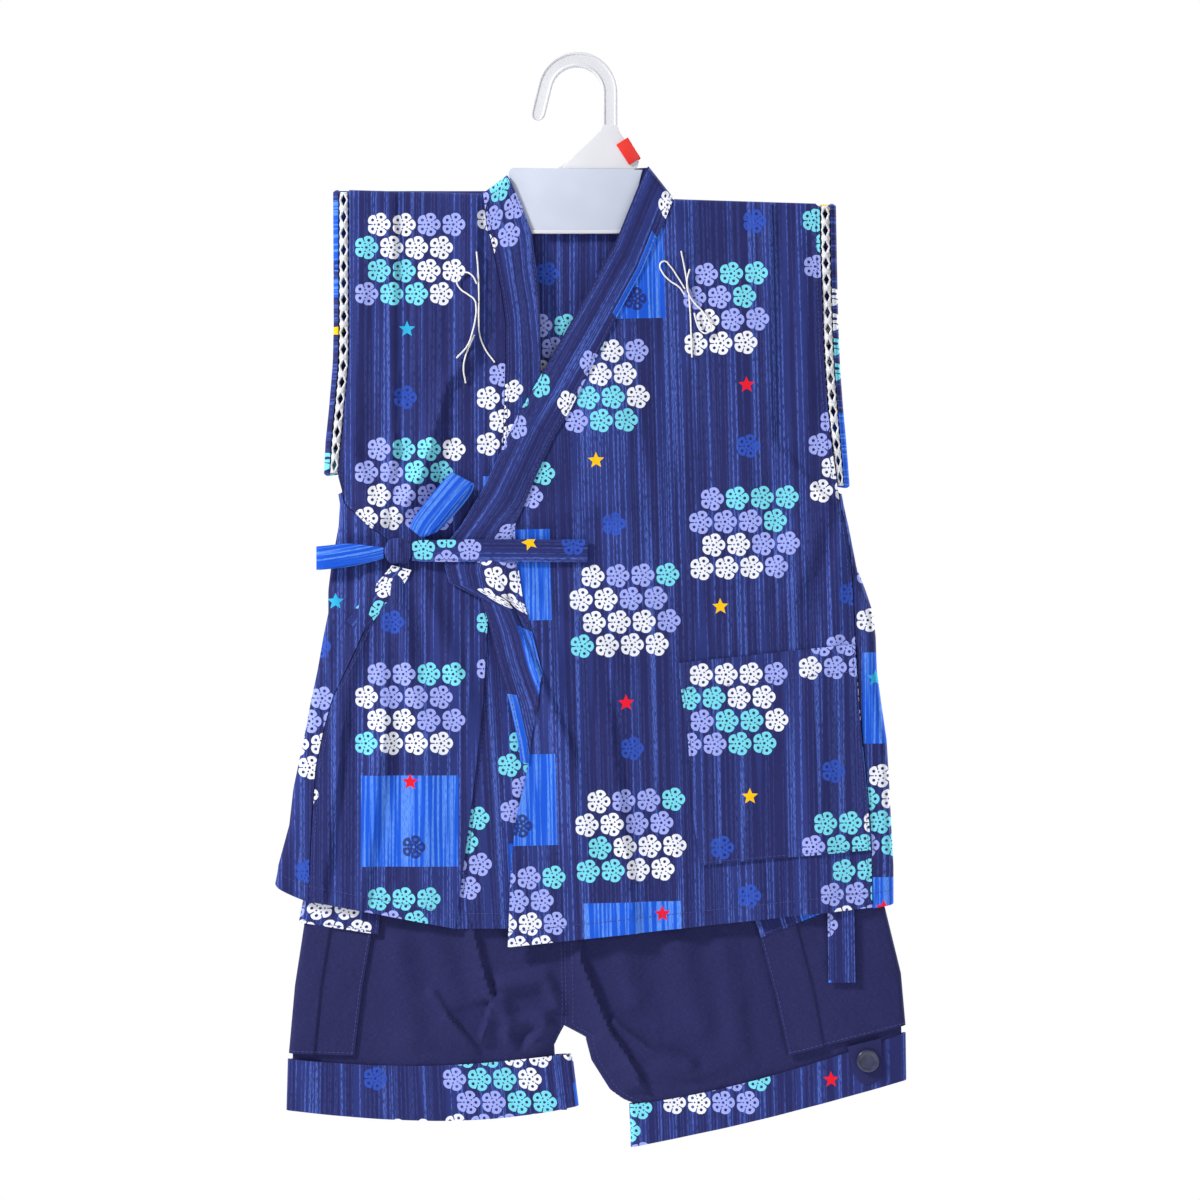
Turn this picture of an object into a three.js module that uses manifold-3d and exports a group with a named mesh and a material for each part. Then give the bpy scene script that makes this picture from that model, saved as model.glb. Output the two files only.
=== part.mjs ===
// A child's jinbei set, size 110, on its plastic hanger: a crossover cotton jacket tied at the side,
// with turned-up shorts below it. Millimetres, +Z up, the front facing -Y, the wearer's right on -X.
// The origin is the seat of the hook, where a rail bears on it. Every cloth piece is an open wall
// round its middle surface, and pieces that are sewn together stand a seam's gap apart.

import * as THREE from "three";
import { mergeVertices } from "three/addons/utils/BufferGeometryUtils.js";
import Module from "manifold-3d";

const wasm = await Module();
wasm.setup();

// Walls and gaps
const CLOTH = 1.2;
const THIN_CLOTH = 1.0;
const BAND = 2.0;
const GAP = 0.3;

// Depths of the middle surfaces: the jacket lies flat at the chest and opens a little over the shorts
const CHEST = { front: -3.3, back: 1.8, down_to: -295 };
const HIP = { front: -5.5, back: 7.7, from: -372 };
const OVERLAP_LIFT = 2.4;
const OVERLAP_X = { full: 20, none: 70 };
const SHORTS = { front: 0, back: 3.4 };
const POCKET_OUT = 1.5;
const FLAP_OUT = 2.9;
const SLEEVE_INNER = 3.3;
const SLEEVE_OUTER = 5.3;

// Roundings of folded edges
const SHOULDER_ROUND = 3;
const SIDE_ROUND = 5;
const ARMHOLE_END = -280;

// Grid steps
const STEP = 34;
const FRONT_STEP = { across: 26, down: 75 };
const BACK_STEP = { least: 10, middle: 5 };
const LEG_STEP = { front: 28, back: 44, down: 60 };
const RING_STEP = 48;
const WAIST_STEP = 56;

// Plastic and hardware
const HOOK = { centre_z: -16.4, inner: 16.4, outer: 27, turn: 166, arm: 19, thick: 3.6, y: -1 };
const STEM_FOOT_Z = -40;
const NECK_FOOT = { left: -6, right: 41, z: -62 };
const CHIP = { inside: 0.9, outside: 2.1, reach: 7, front: -1.3, back: 2.9, wall: 1.2, length: 16 };
const BUTTON = { x: 191.7, z: -655, radius: 7.6, thick: 2.6, hole: 0.95, pitch: 1.75 };
const THREAD = 1.1;

const clamp = (t) => Math.min(1, Math.max(0, t));
const lerp = (a, b, t) => a + (b - a) * t;
const V = (x, y, z) => new THREE.Vector3(x, y, z);

function smooth(from, to, value) {
  const t = clamp((value - from) / (to - from));
  return t * t * (3 - 2 * t);
}

// Rows of numbers under named columns, as objects.
function table(columns, rows) {
  const names = columns.split(" ");
  return rows.map((row) => Object.fromEntries(names.map((name, i) => [name, row[i]])));
}

// The value of a column at a height, between rows that run downwards.
function along(rows, key, z, height = "z") {
  const next = rows.findIndex((row) => row[height] <= z);
  if (next === 0) return rows[0][key];
  if (next < 0) return rows.at(-1)[key];
  const [above, below] = [rows[next - 1], rows[next]];
  return lerp(above[key], below[key], (above[height] - z) / (above[height] - below[height]));
}

// How far a wall has come round a folded edge, from 0 on the edge to 1 past the rounding.
function curl(distance, radius) {
  const left = 1 - clamp(distance / radius);
  return Math.sqrt(1 - left * left);
}

// The wearer's right front, worn underneath. side is the armhole and then the side seam, seam is
// where the overlap panel or the collar is sewn on, band is the collar's sewn edge, and neck is its
// free edge.
const UNDER = table("side_x side_z seam_x band_x seam_z neck_x neck_z", [
  [-150.2, -81.5, -62.0, -61.6, -84, -45.5, -72],
  [-150.0, -104, -59.8, -59.4, -104, -36.5, -92],
  [-150.0, -122, -55.0, -54.6, -122, -29.7, -110],
  [-149.8, -148, -50.0, -49.6, -148, -27.5, -128],
  [-149.8, -170, -47.0, -46.6, -170, -24.5, -152],
  [-150.0, -195, -47.2, -46.8, -195, -24.0, -185],
  [-152.0, -215, -47.8, -47.4, -215, -23.8, -210],
  [-155.0, -246, -48.8, -48.4, -246, -24.0, -246],
  [-157.3, -270, -50.5, -44.5, -270, -20.0, -270],
  [-152.5, -288, -52.0, -42.5, -288, -17.0, -288],
  [-137.0, -303, -53.0, -39.0, -303, -14.0, -303],
  [-125.0, -311, -54.0, -36.5, -311, -11.5, -311],
  [-124.0, -330, -56.0, -31.0, -330, -6.0, -330],
  [-131.0, -350, -57.5, -25.0, -350, 0.0, -350],
  [-141.0, -375, -59.4, -17.0, -375, 7.0, -375],
  [-150.0, -395, -60.4, -10.5, -395, 12.5, -395],
  [-160.0, -415, -61.5, -4.0, -415, 17.0, -415],
  [-166.0, -436, -63.5, 3.0, -436, 21.0, -436],
  [-171.5, -462, -66.5, 9.0, -462, 21.0, -462],
  [-174.0, -495, -70.5, 13.0, -495, 21.0, -495],
  [-175.5, -525, -74.5, 16.0, -525, 21.0, -525],
  [-176.0, -550, -80.0, 18.0, -568, 21.0, -568],
]);
const UNDER_COLLAR_ROWS = 18;
const OVERLAP_PANEL_FROM = 8;

// The wearer's left front, worn on top. Its collar is drawn out to a point by the tie, then runs
// into the front edge.
const OVER = table("side_x side_z seam_x seam_z neck_x neck_z", [
  [160.0, -90.5, 63.5, -87.5, 46.5, -66],
  [160.0, -106, 58.0, -102, 40.0, -80],
  [160.7, -136, 42.0, -136, 25.5, -116],
  [161.5, -160, 29.0, -160, 12.5, -140],
  [162.5, -190, 14.0, -190, -5.5, -171.5],
  [165.2, -226, -4.0, -226, -25.0, -206],
  [167.5, -247, -16.5, -247, -38.5, -229],
  [171.3, -275, -29.0, -275, -52.0, -258],
  [173.0, -290, -35.0, -290, -60.0, -275],
  [176.5, -303, -41.0, -303, -75.5, -301.5],
  [179.0, -318, -40.0, -318, -84.0, -312],
  [180.5, -330, -38.0, -335, -87.0, -328.5],
  [181.7, -348, -35.0, -352, -84.0, -340],
  [182.3, -360, -31.5, -365, -63.0, -350],
  [183.0, -376, -28.0, -378, -57.4, -368],
  [184.3, -398, -23.0, -398, -52.5, -389.5],
  [186.0, -420, -25.3, -420, -44.0, -419],
  [188.0, -444, -30.5, -444, -38.5, -444.5],
  [189.5, -460, -31.7, -459, -36.5, -458],
  [193.0, -500, -40.5, -498, 0, 0],
  [194.0, -527, -43.5, -530, 0, 0],
  [194.5, -554, -45.5, -580, 0, 0],
]);
const OVER_COLLAR_ROWS = 19;

// The jacket's outline below the armholes, where the back panel comes round to the side seams
const OUTLINE = table("z left right", [
  [-280, -157.5, 174.0],
  [-288, -155.9, 175.3],
  [-303, -156.8, 178.7],
  [-330, -161.8, 184.0],
  [-345, -163.7, 190.0],
  [-360, -163.7, 195.0],
  [-376, -167.0, 196.8],
  [-398, -170.8, 197.5],
  [-420, -175.5, 200.5],
  [-444, -180.0, 204.0],
  [-476, -186.8, 205.9],
  [-500, -189.5, 207.0],
  [-527, -196.8, 208.5],
  [-560, -200.0, 208.6],
]);
const HEM = { left_seam: -550.5, left: -539, right: -551.5, right_seam: -554.5, sag: 5 };
const BACK_NECK = { half: 61, centre: 1, drop: 9, fade: 50 };

// The main folds, as soft ridges from one point to another
const FOLDS = table("from_x from_z to_x to_z width height", [
  [-119.5, -84, -120, -246, 8, 0.9],
  [128.0, -92, 130, -246, 8, 0.9],
  [-66.0, -95, -67, -189, 11, 1.1],
  [-67.0, -189, -100, -268, 11, 1.1],
  [-112.0, -365, -128, -560, 14, 1.3],
  [-152.0, -430, -162, -560, 12, 1.2],
  [15.0, -350, 28, -560, 16, 1.0],
]);

function relief(folds, x, z) {
  return folds.reduce((sum, fold) => {
    const run = { x: fold.to_x - fold.from_x, z: fold.to_z - fold.from_z };
    const long = Math.hypot(run.x, run.z);
    const t = ((x - fold.from_x) * run.x + (z - fold.from_z) * run.z) / (long * long);
    const off = ((x - fold.from_x) * run.z - (z - fold.from_z) * run.x) / long;
    const ends = smooth(-0.1, 0.15, t) * smooth(1.1, 0.85, t);
    return sum + fold.height * ends * Math.exp(-((off / fold.width) ** 2));
  }, 0);
}

const lowering = (z) => smooth(CHEST.down_to, HIP.from, z);
const frontLevel = (z) => lerp(CHEST.front, HIP.front, lowering(z));
const backLevel = (z) => lerp(CHEST.back, HIP.back, lowering(z));
const middleLevel = (z) => (frontLevel(z) + backLevel(z)) / 2;

// Brings a level back to the jacket's middle at its folded sides.
function roundSides(level, x, z) {
  if (z > ARMHOLE_END) return level;
  const inside = Math.min(x - along(OUTLINE, "left", z), along(OUTLINE, "right", z) - x);
  return lerp(middleLevel(z), level, curl(inside, SIDE_ROUND));
}

const roundTop = (level, z, fromTop) => lerp(middleLevel(z), level, curl(fromTop, SHOULDER_ROUND));
const underDepth = (x, z) => roundSides(frontLevel(z) - relief(FOLDS, x, z), x, z);
const overLift = (x) => OVERLAP_LIFT * smooth(OVERLAP_X.none, OVERLAP_X.full, x);
const overDepth = (x, z) => roundSides(frontLevel(z) - relief(FOLDS, x, z) - overLift(x), x, z);

// A closed wall of even thickness round a grid of points. A ring grid joins its last column to its first.
function wall(grid, thickness, ring = false) {
  const rows = grid.length;
  const columns = grid[0].length;
  const clip = (i, count) => Math.min(count - 1, Math.max(0, i));
  const at = (j, i) => grid[clip(j, rows)][ring ? (i + columns) % columns : clip(i, columns)];
  const places = [];
  for (const side of [0.5, -0.5]) {
    for (let j = 0; j < rows; j++) {
      for (let i = 0; i < columns; i++) {
        const across = at(j, i + 1).clone().sub(at(j, i - 1));
        const down = at(j + 1, i).clone().sub(at(j - 1, i));
        const normal = across.cross(down).normalize();
        places.push(at(j, i).clone().addScaledVector(normal, side * thickness));
      }
    }
  }
  const index = (side, j, i) => side * rows * columns + j * columns + (i % columns);
  const faces = [];
  const quad = (a, b, c, d) => faces.push(a, b, c, a, c, d);
  const spans = ring ? columns : columns - 1;
  for (let j = 0; j < rows - 1; j++) {
    for (let i = 0; i < spans; i++) {
      quad(index(0, j, i), index(0, j, i + 1), index(0, j + 1, i + 1), index(0, j + 1, i));
      quad(index(1, j, i), index(1, j + 1, i), index(1, j + 1, i + 1), index(1, j, i + 1));
    }
  }
  for (let i = 0; i < spans; i++) {
    const last = rows - 1;
    quad(index(0, 0, i + 1), index(0, 0, i), index(1, 0, i), index(1, 0, i + 1));
    quad(index(0, last, i), index(0, last, i + 1), index(1, last, i + 1), index(1, last, i));
  }
  for (let j = 0; j < rows - 1 && !ring; j++) {
    const last = columns - 1;
    quad(index(0, j, 0), index(0, j + 1, 0), index(1, j + 1, 0), index(1, j, 0));
    quad(index(0, j + 1, last), index(0, j, last), index(1, j, last), index(1, j + 1, last));
  }
  return facingOut(places, faces);
}

function facingOut(places, faces) {
  let volume = 0;
  for (let k = 0; k < faces.length; k += 3) {
    const [a, b, c] = [places[faces[k]], places[faces[k + 1]], places[faces[k + 2]]];
    volume += a.dot(b.clone().cross(c));
  }
  if (volume < 0) faces.reverse();
  const geometry = new THREE.BufferGeometry().setFromPoints(places);
  geometry.setIndex(faces);
  geometry.computeVertexNormals();
  return geometry;
}

// Shares from 0 to 1 with extra ones close to the ends that are rounded.
function shares(length, step, roundStart = 0, roundEnd = 0) {
  const near = [0, 0.12, 0.45, 1];
  const start = roundStart ? near.map((t) => (t * roundStart) / length) : [0];
  const end = roundEnd ? near.map((t) => 1 - (t * roundEnd) / length).reverse() : [1];
  const count = Math.max(1, Math.round(((end[0] - start.at(-1)) * length) / step));
  const middle = Array.from({ length: count - 1 }, (_, k) => lerp(start.at(-1), end[0], (k + 1) / count));
  return [...start, ...middle, ...end];
}

// A panel ruled between its left and right edges, row by row. depth(x, z, fromTop) places it front to back.
function panel(rows, depth, options = {}) {
  const { across = STEP, down = STEP, roundTop = 0, roundLeft = 0, roundRight = 0 } = options;
  const stations = [];
  rows.slice(1).forEach((low, k) => {
    const high = rows[k];
    const tall = Math.max(Math.abs(high.lz - low.lz), Math.abs(high.rz - low.rz));
    const steps = shares(tall, down, k === 0 ? roundTop : 0);
    for (const t of k === 0 ? steps : steps.slice(1)) {
      const between = (key) => lerp(high[key], low[key], t);
      stations.push({ lx: between("lx"), lz: between("lz"), rx: between("rx"), rz: between("rz") });
    }
  });
  const widest = Math.max(...rows.map((row) => Math.hypot(row.rx - row.lx, row.rz - row.lz)));
  const columns = shares(widest, across, roundLeft, roundRight);
  return stations.map((row) =>
    columns.map((u) => {
      const [x, z] = [lerp(row.lx, row.rx, u), lerp(row.lz, row.rz, u)];
      return V(x, depth(x, z, lerp(rows[0].lz, rows[0].rz, u) - z), z);
    }),
  );
}

// A strip along stations of x, y, z, its middle line, and wx, wz, half its width.
function strip(stations) {
  return stations.map((s) => [-1, 0, 1].map((side) => V(s.x + side * s.wx, s.y, s.z + side * s.wz)));
}

const group = new THREE.Group();

const finish = (color, roughness, metalness = 0) =>
  new THREE.MeshStandardMaterial({ color, roughness, metalness, side: THREE.DoubleSide });
const PRINT = finish(0x2b3a78, 0.85);
const NAVY = finish(0x2a2c60, 0.85);
const LACE = finish(0xf2f2f2, 0.8);
const PLASTIC = finish(0xdcdce4, 0.35);
const BOARD = finish(0xccd6e8, 0.3);
const RED = finish(0xe63c3c, 0.4);
const BUTTON_NAVY = finish(0x23264a, 0.35);
const COTTON = finish(0xeceae6, 0.9);

function add(name, geometry, material) {
  const mesh = new THREE.Mesh(geometry, material);
  mesh.name = name;
  group.add(mesh);
}

// ---- Jacket ----

function addFronts() {
  const underRows = UNDER.map((r) => ({ lx: r.side_x, lz: r.side_z, rx: r.seam_x, rz: r.seam_z }));
  const under = (x, z, fromTop) => roundTop(underDepth(x, z), z, fromTop);
  const topRound = { roundTop: SHOULDER_ROUND, ...FRONT_STEP };
  add("front_right", wall(panel(underRows, under, topRound), CLOTH), PRINT);

  const panelRows = UNDER.slice(OVERLAP_PANEL_FROM).map((r) => ({
    lx: r.seam_x + GAP + 0.1,
    lz: r.seam_z,
    rx: r.band_x,
    rz: r.seam_z,
  }));
  const recess = 1.3;
  add("overlap_panel_right", wall(panel(panelRows, (x, z) => underDepth(x, z) + recess), CLOTH), PRINT);

  const overRows = OVER.map((r) => ({ lx: r.seam_x, lz: r.seam_z, rx: r.side_x, rz: r.side_z }));
  const over = (x, z, fromTop) => roundTop(overDepth(x, z), z, fromTop);
  const sideRound = { ...topRound, roundRight: SIDE_ROUND };
  add("front_left", wall(panel(overRows, over, sideRound), CLOTH), PRINT);
}

function addCollar() {
  const seam = GAP + 0.25;
  const underRows = UNDER.slice(0, UNDER_COLLAR_ROWS).map((r) => ({
    lx: r.band_x + seam,
    lz: r.seam_z,
    rx: r.neck_x,
    rz: r.neck_z,
  }));
  const proud = 0.3;
  const underBand = (x, z, fromTop) => roundTop(underDepth(x, z) - proud, z, fromTop);
  add("collar_right", wall(panel(underRows, underBand, { roundTop: SHOULDER_ROUND }), BAND), PRINT);

  const atShoulder = 0.6;
  const overRows = OVER.slice(0, OVER_COLLAR_ROWS).map((r, k) => ({
    lx: r.neck_x,
    lz: r.neck_z,
    rx: r.seam_x - seam - (k === 0 ? atShoulder : 0),
    rz: r.seam_z,
  }));
  const overBand = (x, z, fromTop) => roundTop(overDepth(x, z) - proud - 0.1, z, fromTop);
  add("collar_left", wall(panel(overRows, overBand, { roundTop: SHOULDER_ROUND }), BAND), PRINT);

  // The stretch behind the neck stands up from the back panel, and comes round to meet the fronts' bands.
  const first = { under: UNDER[0], over: OVER[0] };
  const backRows = [
    { lx: first.under.neck_x, lz: first.under.neck_z, rx: first.over.neck_x, rz: first.over.neck_z },
    { lx: -52, lz: -77, rx: 53, rz: -73 },
    { lx: -60, lz: -86, rx: 61.5, rz: -85 },
  ];
  const ends = (x) => Math.min(x + 61, 62.5 - x);
  const bandDepth = (x, z) => lerp(middleLevel(z) + 1.6, backLevel(z) + proud, curl(ends(x) - 1, 14));
  const band = panel(backRows, bandDepth, { across: 12, down: 8 });
  for (const row of band) {
    for (const p of row) p.z -= neckDip(p.x) * smooth(-66, -86, p.z);
  }
  add("collar_back", wall(band, BAND), PRINT);
}

function neckDip(x) {
  const off = (x - BACK_NECK.centre) / BACK_NECK.half;
  return BACK_NECK.drop * Math.max(0, 1 - off * off);
}

// Distances in from a folded side: the ones that come round to the front, then those behind.
const BEHIND = [1, 6];
const IN_FRONT = [1, 0.45, 0.12];
const SIDE_SEAM = 0.6;

function sideOfBack(z, key, inward) {
  const edge = along(OUTLINE, key, z);
  const seamRows = key === "left" ? UNDER : OVER;
  const seam = along(seamRows, "side_x", z, "side_z") - inward * SIDE_SEAM;
  if (z > ARMHOLE_END) {
    const spread = [0, 1, 2, 3, 4.5, 8];
    return spread.map((d) => V(seam + inward * (d + SIDE_SEAM), backLevel(z), z));
  }
  const wrap = (seam - edge) * inward;
  const front = IN_FRONT.map((share) => {
    const d = share * wrap;
    return V(edge + inward * d, lerp(middleLevel(z), frontLevel(z), curl(d, SIDE_ROUND)), z);
  });
  const back = [0, ...BEHIND].map((d) =>
    V(edge + inward * d, lerp(middleLevel(z), backLevel(z), curl(d, SIDE_ROUND)), z),
  );
  return [...front, ...back];
}

function addBack() {
  const breaks = [...UNDER.map((r) => r.side_z), ...OVER.map((r) => r.side_z)];
  const inside = (z) => z < -96 && z > -530;
  const levels = [...new Set(breaks)].filter(inside).sort((a, b) => b - a);
  const kept = levels.filter((z, k) => k === 0 || levels[k - 1] - z > BACK_STEP.least);
  const rowAt = (z) => {
    const left = sideOfBack(z, "left", 1);
    const right = sideOfBack(z, "right", -1).reverse();
    const middle = Array.from({ length: BACK_STEP.middle }, (_, k) => {
      const x = lerp(left.at(-1).x, right[0].x, (k + 1) / (BACK_STEP.middle + 1));
      return V(x, backLevel(z), z);
    });
    return [...left, ...middle, ...right];
  };
  const hem = rowAt(-548);
  const last = hem.length - 1;
  const wrap = 3;
  hem.forEach((p, k) => {
    const across = (k - wrap) / (last - 2 * wrap);
    if (k <= wrap) p.z = lerp(HEM.left_seam, HEM.left, k / wrap);
    else if (k >= last - wrap) p.z = lerp(HEM.right_seam, HEM.right, (last - k) / wrap);
    else p.z = lerp(HEM.left, HEM.right, across) - HEM.sag * Math.sin(Math.PI * across);
  });
  const shoulder = [0, 0.4, 1.5, SHOULDER_ROUND, 9].map((below) => {
    const row = rowAt(-92);
    for (const p of row) {
      const slope = (p.x - UNDER[0].side_x) / (OVER[0].side_x - UNDER[0].side_x);
      const hollow = 1.5 * Math.exp(-(((p.x - OVER[0].seam_x) / 20) ** 2));
      p.z = lerp(UNDER[0].side_z, OVER[0].side_z, slope) - hollow - below;
      p.y = lerp(middleLevel(p.z) + 0.95, backLevel(p.z), curl(below, SHOULDER_ROUND));
    }
    return row;
  });
  const rows = [...shoulder, ...kept.map(rowAt), hem];
  for (const row of rows) {
    for (const p of row) {
      const fade = 1 - smooth(-82, -82 - BACK_NECK.fade, p.z);
      p.z -= (neckDip(p.x) + 3.5 * (neckDip(p.x) > 0)) * fade;
    }
  }
  // The neck edge is cut, not folded, so it stays at the back's own depth.
  for (const row of shoulder) {
    for (const p of row) {
      const inNeck = smooth(0, 2.5, neckDip(p.x));
      p.y = lerp(p.y, CHEST.back, inNeck);
    }
  }
  add("back", wall(rows, CLOTH), PRINT);
}

// ---- Sleeves, folded behind the back at the armhole, and their lace insertions ----

// near_x and far_x are the insertion's edges, fold_x is where the sleeve turns back, and cuff_x is
// its open end.
const ARM_RIGHT = table("z near_x far_x fold_x cuff_x", [
  [-82.5, -150.8, -156.8, -160.6, -58],
  [-122, -150.6, -156.8, -160.4, -56],
  [-170, -150.4, -156.7, -160.2, -55],
  [-195, -150.6, -157.0, -160.8, -55],
  [-226, -153.4, -159.6, -163.4, -57],
  [-247, -155.7, -161.6, -165.6, -58],
  [-268, -157.7, -162.8, -166.6, -60],
]);
const ARM_LEFT = table("z near_x far_x fold_x cuff_x", [
  [-91.5, 160.6, 166.6, 170.6, 70],
  [-128, 161.1, 167.2, 171.2, 68],
  [-172, 162.5, 168.5, 172.2, 67],
  [-200, 163.9, 169.8, 173.4, 67],
  [-226, 165.9, 171.8, 175.4, 68],
  [-247, 168.2, 173.6, 177.4, 69],
  [-276, 172.0, 176.0, 179.6, 71],
]);

function addInsertion(name, rows, level) {
  const edges = rows.map(({ near_x, far_x, z }) => {
    return { lx: Math.min(near_x, far_x), lz: z, rx: Math.max(near_x, far_x), rz: z };
  });
  const atShoulder = Math.sign(level) * 0.95 - 0.45;
  const depth = (x, z, fromTop) => lerp(atShoulder, level, curl(fromTop, SHOULDER_ROUND));
  add(name, wall(panel(edges, depth, { roundTop: SHOULDER_ROUND }), CLOTH), LACE);
}

function addSleeve(name, rows, outward) {
  const [high, low] = [rows[0].z, rows.at(-1).z];
  const levels = [high, high - 14, ...rows.slice(1, -1).map((r) => r.z), low + 8, low];
  const path = [0, 0.22, 0.5, 0.78, 1];
  const inwards = [12, 100];
  const stations = [...path.map((t) => ({ t, in: 0 })), ...inwards.map((d) => ({ t: 1, in: d / 100 }))];
  const place = (z, station, outer) => {
    const start = along(rows, "far_x", z) + outward * (GAP + 0.2);
    const bulge = (along(rows, "fold_x", z) - start) * outward;
    const turn = Math.PI * station.t;
    const [from, to, reach] = outer
      ? [CHEST.front, SLEEVE_OUTER, bulge]
      : [CHEST.back, SLEEVE_INNER, bulge * 0.35];
    const cuff = along(rows, "cuff_x", z);
    const x = lerp(start + outward * reach * Math.sin(turn), cuff, station.in);
    return V(x, lerp(from, to, (1 - Math.cos(turn)) / 2), z);
  };
  const grid = stations.map((station) => {
    const taper = (z) => z + (z < -200 ? 16 : 0) * station.in * smooth(-150, -270, z);
    const move = (p) => V(p.x, p.y, taper(p.z));
    const outer = levels.map((z) => move(place(z, station, true)));
    const inner = levels.map((z) => move(place(z, station, false))).reverse();
    const between = (a, b, rise) => V((a.x + b.x) / 2, (a.y + b.y) / 2, a.z + rise);
    const top = between(outer[0], inner.at(-1), 1);
    const foot = between(outer.at(-1), inner[0], -1);
    return [top, ...outer, foot, ...inner];
  });
  add(name, wall(grid, THIN_CLOTH, true), PRINT);
}

function addSleeves() {
  addInsertion("insertion_right_front", ARM_RIGHT, CHEST.front);
  addInsertion("insertion_right_back", ARM_RIGHT, CHEST.back);
  addInsertion("insertion_left_front", ARM_LEFT, CHEST.front);
  addInsertion("insertion_left_back", ARM_LEFT, CHEST.back);
  addSleeve("sleeve_right", ARM_RIGHT, -1);
  addSleeve("sleeve_left", ARM_LEFT, 1);
}

// ---- Patch pocket and ties ----

function addPatchPocket() {
  const rows = table("lx lz rx rz", [
    [66.0, -393, 182.6, -380.5],
    [73.0, -443, 187.4, -444],
    [76.0, -490, 191.4, -485],
    [81.0, -526, 193.4, -516],
  ]);
  add("patch_pocket", wall(panel(rows, (x, z) => overDepth(x, z) - CLOTH - GAP), CLOTH), PRINT);
}

const KNOT = { x: -117.5, z: -319.3, wide: 17.4, tall: 16.4, front: -12, back: -5.8, bevel: 1.5 };

function addTies() {
  const outline = new THREE.Shape();
  const [w, h, r] = [KNOT.wide / 2 - KNOT.bevel, KNOT.tall / 2 - KNOT.bevel, 3];
  outline.moveTo(-w + r, -h);
  outline.lineTo(w - r, -h);
  outline.quadraticCurveTo(w, -h, w, -h + r);
  outline.lineTo(w, h - r);
  outline.quadraticCurveTo(w, h, w - r, h);
  outline.lineTo(-w + r, h);
  outline.quadraticCurveTo(-w, h, -w, h - r);
  outline.lineTo(-w, -h + r);
  outline.quadraticCurveTo(-w, -h, -w + r, -h);
  const depth = KNOT.back - KNOT.front - 2 * KNOT.bevel;
  const knot = new THREE.ExtrudeGeometry(outline, {
    depth,
    bevelThickness: KNOT.bevel,
    bevelSize: KNOT.bevel,
    bevelSegments: 2,
    curveSegments: 3,
  });
  knot.rotateX(Math.PI / 2);
  knot.translate(KNOT.x, KNOT.back - KNOT.bevel, KNOT.z);
  add("tie_knot", knot, PRINT);

  const columns = "x y z wx wz";
  const sideLoop = table(columns, [
    [-127.2, -9.6, -320.5, 0, 3.4],
    [-136, -10.6, -321, 0, 5.0],
    [-150, -11.0, -321.5, 0, 7.0],
    [-166, -10.6, -323.5, 0, 7.6],
    [-170.8, -9.0, -324, 0, 7.6],
    [-166, -7.4, -324, 0, 7.4],
    [-150, -7.1, -323, 0, 6.6],
    [-136, -7.3, -322, 0, 4.6],
    [-127.2, -7.7, -321, 0, 3.2],
  ]);
  add("tie_loop_side", wall(strip(sideLoop), CLOTH), PRINT);

  const topLoop = table(columns, [
    [-106.5, -9.9, -307.0, 3.6, -3.0],
    [-100, -10.7, -300.5, 5.8, -4.8],
    [-89, -11.0, -287, 6.2, -4.8],
    [-79.5, -10.6, -275.8, 6.9, -3.9],
    [-75.2, -9.1, -271.5, 7.0, -3.7],
    [-76, -7.6, -276.6, 6.8, -4.2],
    [-84.5, -7.3, -288, 6.2, -4.8],
    [-96, -7.6, -301, 5.4, -4.6],
    [-104.5, -8.1, -307.6, 3.2, -2.8],
  ]);
  add("tie_loop_top", wall(strip(topLoop), CLOTH), PRINT);

  const longEnd = table(columns, [
    [-108.3, -9.0, -319.2, 0, 6.6],
    [-96, -9.0, -319.2, 0, 7.1],
    [-66, -9.0, -319.0, 0, 7.3],
    [-36, -9.0, -319.0, 0, 7.4],
    [-14, -8.8, -319.2, 0, 7.4],
    [7, -8.6, -319.2, 0, 7.5],
  ]);
  add("tie_end_long", wall(strip(longEnd), CLOTH), PRINT);

  const shortEnd = table(columns, [
    [-115.2, -7.4, -330.2, 6.4, -1.6],
    [-121, -7.4, -339, 6.4, -3.4],
    [-133, -7.4, -353, 5.9, -4.0],
    [-146.5, -7.2, -369.3, 5.9, -4.0],
  ]);
  add("tie_end_short", wall(strip(shortEnd), CLOTH), PRINT);

  // The inner tie is sewn to the left side seam and hangs down inside, out past the hem.
  const innerTie = table(columns, [
    [170.0, -2.3, -318, 7.0, 0],
    [172.0, -2.6, -360, 8.2, 0],
    [172.5, -4.1, -440, 8.6, 0],
    [173.5, -4.2, -530, 8.7, 0],
    [174.6, -4.3, -603.5, 8.8, 0],
  ]);
  add("tie_inner", wall(strip(innerTie), THIN_CLOTH), PRINT);
}

// ---- Shorts ----

const LEG_RIGHT = table("out_x out_z in_x in_z", [
  [-112, -397.6, -10.4, -397.6],
  [-118, -440, -10.3, -440],
  [-150, -500, -10.2, -500],
  [-175.6, -567, -10.2, -567],
  [-181.5, -603, -9.2, -603],
  [-185.5, -627, -9.4, -632.5],
  [-187, -645, -15.5, -645],
  [-187.4, -660, -14.5, -662],
  [-188, -684, -7, -688],
]);
const LEG_LEFT = table("out_x out_z in_x in_z", [
  [122, -397.6, -9.6, -397.6],
  [130, -440, -9.6, -440],
  [165, -500, -9.6, -500],
  [197.5, -567, -9.6, -567],
  [208, -603, -8.6, -603],
  [213.5, -627, -8.6, -632],
  [213.8, -640, 5.9, -639.5],
  [213.6, -646, 10, -655],
  [213.2, -651, 22, -674],
  [213.0, -653, 31, -680.5],
  [213.0, -654.5, 38.6, -683.4],
  [213.5, -664, 40, -700],
]);
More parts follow.
